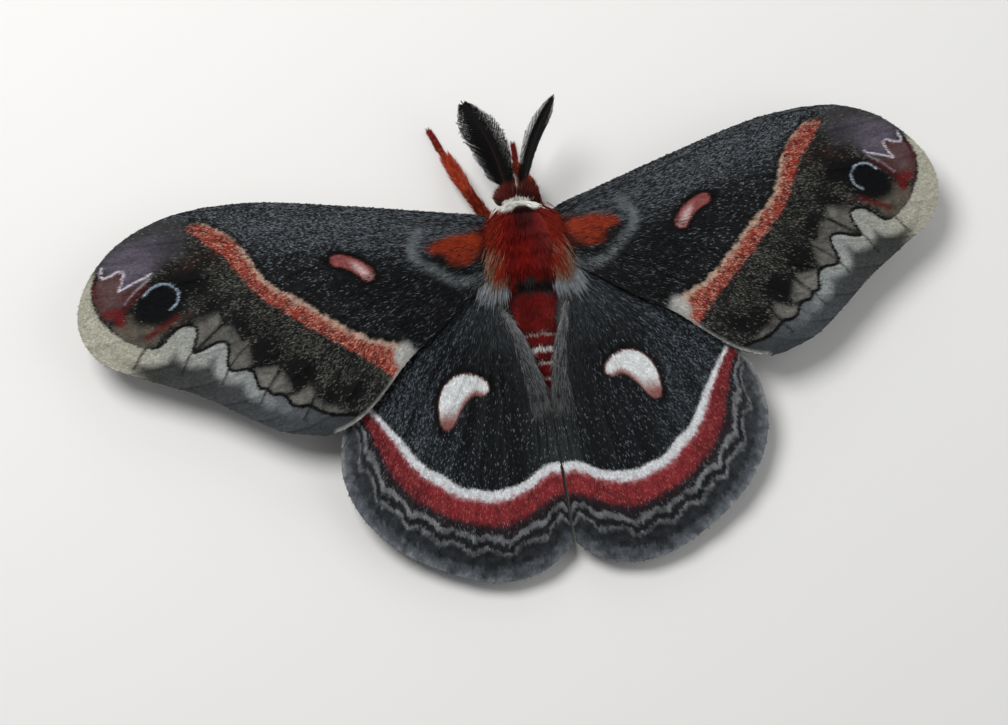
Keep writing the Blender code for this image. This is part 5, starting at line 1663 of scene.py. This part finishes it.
def make_bristles(side, bristles, seed):
    """Fine hairs down both edges of every branch."""
    rng = np.random.default_rng(seed)
    roots, lies, ups = [], [], []
    for curve, away, heading in bristles:
        share = rng.random(BRISTLES_EACH)
        flank = unit(np.cross(heading, away)) * rng.choice((-1.0, 1.0), BRISTLES_EACH)[:, None]
        roots.append(at(curve, share))
        lies.append(unit(flank + heading * 0.9))
        ups.append(np.broadcast_to(away, (BRISTLES_EACH, 3)))
    roots, lies, ups = np.vstack(roots), np.vstack(lies), np.vstack(ups)
    count = len(roots)
    paint = np.broadcast_to(BRISTLE_BLACK, (count, 3)) * rng.uniform(0.5, 1.6, count)[:, None]
    plan = np.stack([rng.random(count), rng.random(count)], axis=-1) * 0.99
    lengths = BRISTLE_LENGTH * rng.uniform(0.7, 1.2, count)
    shape = flat_tufts(roots, lies, ups, lengths, np.full(count, BRISTLE_WIDTH),
                       rng.normal(0, 0.25, count), paint, plan)
    return coat_piece("antenna_bristles_" + side, shape, HORN)


for number, side in enumerate(("left", "right")):
    antenna, bristles = make_antenna(side, 501 + number)
    fringe = make_bristles(side, bristles, 511 + number)
    print(antenna.name, len(antenna.data.polygons), "faces,", len(bristles), "branches;",
          len(fringe.data.polygons), "faces of bristles")

# %% [markdown]
# ## Legs
# Each leg has a short hip, a thigh, a furry shin and a foot of five small joints that ends in two
# claws. The two front legs reach forward beside the antennae, orange-red in the light. The other
# four rest under the wings, and above their feet they are painted a dimmer red, as painted shade.
# A leg is one tube whose radius swells and narrows at its joints, with its own coat of short hair,
# and the claws are separate small hooks.

# %% Make the legs
LEG_SIZES = {"hip": 0.8, "thigh": 0.62, "knee": 0.46, "shin": 0.66, "ankle": 0.36, "toe": 0.33}
HIP_HEIGHT = 6.0
FOOT_HEIGHT = 0.34
TOE_JOINTS = 5
# hip, turn of the hip, knee, ankle and toe; a hip and a toe have their heights above
LEGS = {
    "leg_fore_left": [(-2.4, 3.7), (-3.5, 5.4, 3.5), (-6.6, 10.9, 5.0), (-8.7, 18.1, 1.1), (-10.7, 23.3)],
    "leg_fore_right": [(2.4, 3.7), (4.1, 6.2, 3.7), (3.3, 11.3, 4.2), (2.1, 15.2, 1.1), (2.2, 19.3)],
}
REAR_LEGS = {
    "leg_mid": [(3.0, 0.4), (4.6, 0.4, 2.9), (10.0, -0.6, 5.4), (14.0, -3.6, 1.1), (16.8, -6.6)],
    "leg_hind": [(2.8, -2.8), (4.3, -3.6, 2.6), (8.6, -8.4, 4.6), (11.6, -14.6, 1.1), (12.8, -19.6)],
}
for name, joints in REAR_LEGS.items():
    for side, sign in (("left", -1.0), ("right", 1.0)):
        LEGS[name + "_" + side] = [(sign * x, *rest) for x, *rest in joints]
LEG_REFERENCE = (0.30, 0.22, 1.0)
SHIN_FUR = {"leg_fore_left": 1.22}  # the left front shin is the fullest
FOOT_FUR = {"leg_fore_left": 1.45}
LEG_ORANGE = tone(156, 42, 18)
LEG_RED = tone(120, 30, 18)
# painted shade: the dimmer red of the four legs that rest under the wings
SHADED_LEG_RED = tone(92, 44, 40)
FOOT_RED = tone(128, 30, 18)
JOINT_DARK = tone(26, 12, 10)
SHIN_TIPS = tone(196, 104, 50)
CLAW_BROWN = tone(30, 16, 12)


def leg_course(name, joints):
    """The leg's middle line and radius, and the joints' shares along it."""
    size = dict(LEG_SIZES)
    size["shin"] *= SHIN_FUR.get(name, 1.0)
    size["toe"] *= FOOT_FUR.get(name, 1.0)
    hip, turn, knee, ankle, toe = joints
    start, turn, knee, ankle, toe = (
        np.array(place) for place in ((*hip, HIP_HEIGHT), turn, knee, ankle, (*toe, FOOT_HEIGHT)))
    stops = [(start, size["hip"]), (start + (turn - start) * 0.5, size["hip"]), (turn, size["hip"] * 0.9)]
    for share in (0.3, 0.8):
        stops.append((turn + (knee - turn) * share, size["thigh"]))
    stops.append((knee, size["knee"]))
    for share, swell in ((0.12, 0.8), (0.45, 1.0), (0.9, 0.75)):
        stops.append((knee + (ankle - knee) * share, size["shin"] * swell))
    stops.append((ankle, size["ankle"]))
    foot = ankle + (toe - ankle) * 0.22
    foot[2] = FOOT_HEIGHT + 0.05
    for number in range(TOE_JOINTS):
        for share, swell in ((0.08, 0.75), (0.30, 1.0), (0.85, 1.12)):
            along = (number + share) / TOE_JOINTS
            stops.append((foot + (toe - foot) * along, size["toe"] * swell * (1.0 - 0.3 * along)))
    line = np.array([(*place, radius) for place, radius in stops])
    steps = np.concatenate([[0.0], np.cumsum(np.linalg.norm(np.diff(line[:, :3], axis=0), axis=1))])
    return smooth_line(line, steps), steps / steps[-1]


def smooth_line(line, steps, count=150):
    """Even steps along a bent line, its corners rounded a little."""
    rounded = between(np.linspace(0, steps[-1], count), steps, line)
    for _ in range(2):
        even = rounded.copy()
        rounded[1:-1] = (even[:-2] + 2 * even[1:-1] + even[2:]) / 4
    return rounded


def leg_paint(name, share):
    front = name == "leg_fore_left"
    main = LEG_ORANGE if front else (LEG_RED if "fore" in name else SHADED_LEG_RED)
    return layered(
        np.broadcast_to(LEG_RED if front else main * 0.8, share.shape + (3,)),
        (main, fade(share, 0.30, 0.42)), (FOOT_RED, fade(share, 0.72, 0.80)))


def make_leg_skin(name, path, radii, stops):
    """One tube for the whole leg, dark at its joints and flat where it meets the floor."""
    shares = np.linspace(0, 1, len(path))
    dark = np.zeros(len(path))
    for marked, start, end in ((stops[[2, 5, 9]], 0.02, 0.005), (stops[10::3], 0.012, 0.002)):
        for stop in marked:
            dark = np.maximum(dark, fade(np.abs(shares - stop), start, end))
    rings = tube_rings(path, shares, radii, 14, LEG_REFERENCE)
    rings[..., 2] = np.maximum(rings[..., 2], 0.0)
    paint = mix(leg_paint(name, shares), JOINT_DARK, 0.85 * dark)
    skin = loft(name + "_skin", rings, BODY_SKIN, paint)
    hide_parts(name)
    return skin


def make_leg_coat(name, path, radii, stops, seed):
    """Hair from the thigh to the toes, longer on the shin than on the foot."""
    rng = np.random.default_rng(seed)
    count = int((2000 if "fore" in name else 1000) * HAIR_SHARE)
    share = stops[2] * 0.6 + (0.985 - stops[2] * 0.6) * rng.random(count)
    turn = rng.uniform(0, 2 * math.pi, count)
    centre, ahead, across, upright = straight_frame(path, share, LEG_REFERENCE)
    out = across * np.cos(turn)[:, None] + upright * np.sin(turn)[:, None]
    radius = np.interp(share, np.linspace(0, 1, len(path)), radii)
    foot = fade(share, stops[9] - 0.02, stops[9] + 0.02)
    shin_hair = 1.15 * SHIN_FUR.get(name, 1.0)
    length = (shin_hair * (1 - foot) + 0.75 * foot) * rng.uniform(0.7, 1.2, count)
    lift = np.radians((30.0 * (1 - foot) + 26.0 * foot) * rng.uniform(0.6, 1.3, count))
    base = leg_paint(name, share) * rng.uniform(0.65, 1.3, count)[:, None]
    pale = mix(base, SHIN_TIPS, 0.6 * (rng.random(count) < 0.35) * (1 - foot))
    plan = np.stack([0.02 + 0.95 * share, 0.02 + 0.95 * turn / (2 * math.pi)], axis=-1)
    width = np.full(count, 0.12) * (1 - 0.4 * foot)
    # painted shade: each hair is darker at its root, against the leg
    shape = hair_tufts(centre + out * (radius - 0.05)[:, None], ahead, out, length, width, lift, 0.8,
                       base * 0.6, pale, plan, 2)
    shape[0][:, 2] = np.maximum(shape[0][:, 2], FLOOR_CLEARANCE)
    return coat_piece(name + "_fur", shape, FUR)


def make_claws(name, path):
    """Two small hooks that curl down from the end of the foot."""
    end, heading, side_way, _ = straight_frame(path, 1.0, LEG_REFERENCE)
    bend = np.linspace(0, 1, 9)[:, None]
    parts = []
    for way in (-1.0, 1.0):
        hook = (end + heading * (0.62 * np.sin(bend * 1.7) - 0.08) + side_way * way * (0.10 + 0.30 * bend)
                + np.array((0.0, 0.0, 0.10)) - np.array((0.0, 0.0, 0.36)) * bend ** 2)
        radii = 0.085 * (1 - 0.85 * bend[:, 0])
        parts.append((tube_rings(hook, bend[:, 0], radii, 7, LEG_REFERENCE), CLAW_BROWN))
    points, faces, colours = join_lofts(parts)
    points[:, 2] = np.maximum(points[:, 2], 0.0)
    new_piece(name + "_claws", points, faces, HORN, colours)


for number, (name, joints) in enumerate(LEGS.items()):
    course, stops = leg_course(name, joints)
    path, radii = course[:, :3], course[:, 3]
    skin = make_leg_skin(name, path, radii, stops)
    coat = make_leg_coat(name, path, radii, stops, 601 + number)
    make_claws(name, path)
    print(name, len(skin.data.polygons), "faces of skin,", len(coat.data.polygons), "of fur")

# %% [markdown]
# ## Sizes and finish
# The dressed moth has to stay the size of the imported one, so both boxes are written down. A count
# of the faces shows what the scales and hairs cost.

# %% Write the sizes and finish
visual_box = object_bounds()
faces = {o.name: len(o.data.polygons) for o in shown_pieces()}
print("the moth has", len(faces), "pieces and", sum(faces.values()), "faces")
for label, box in (("packed", cad_box), ("dressed", visual_box)):
    print(label, "box:", [round(v / MM, 2) for corner in box for v in corner], "mm")
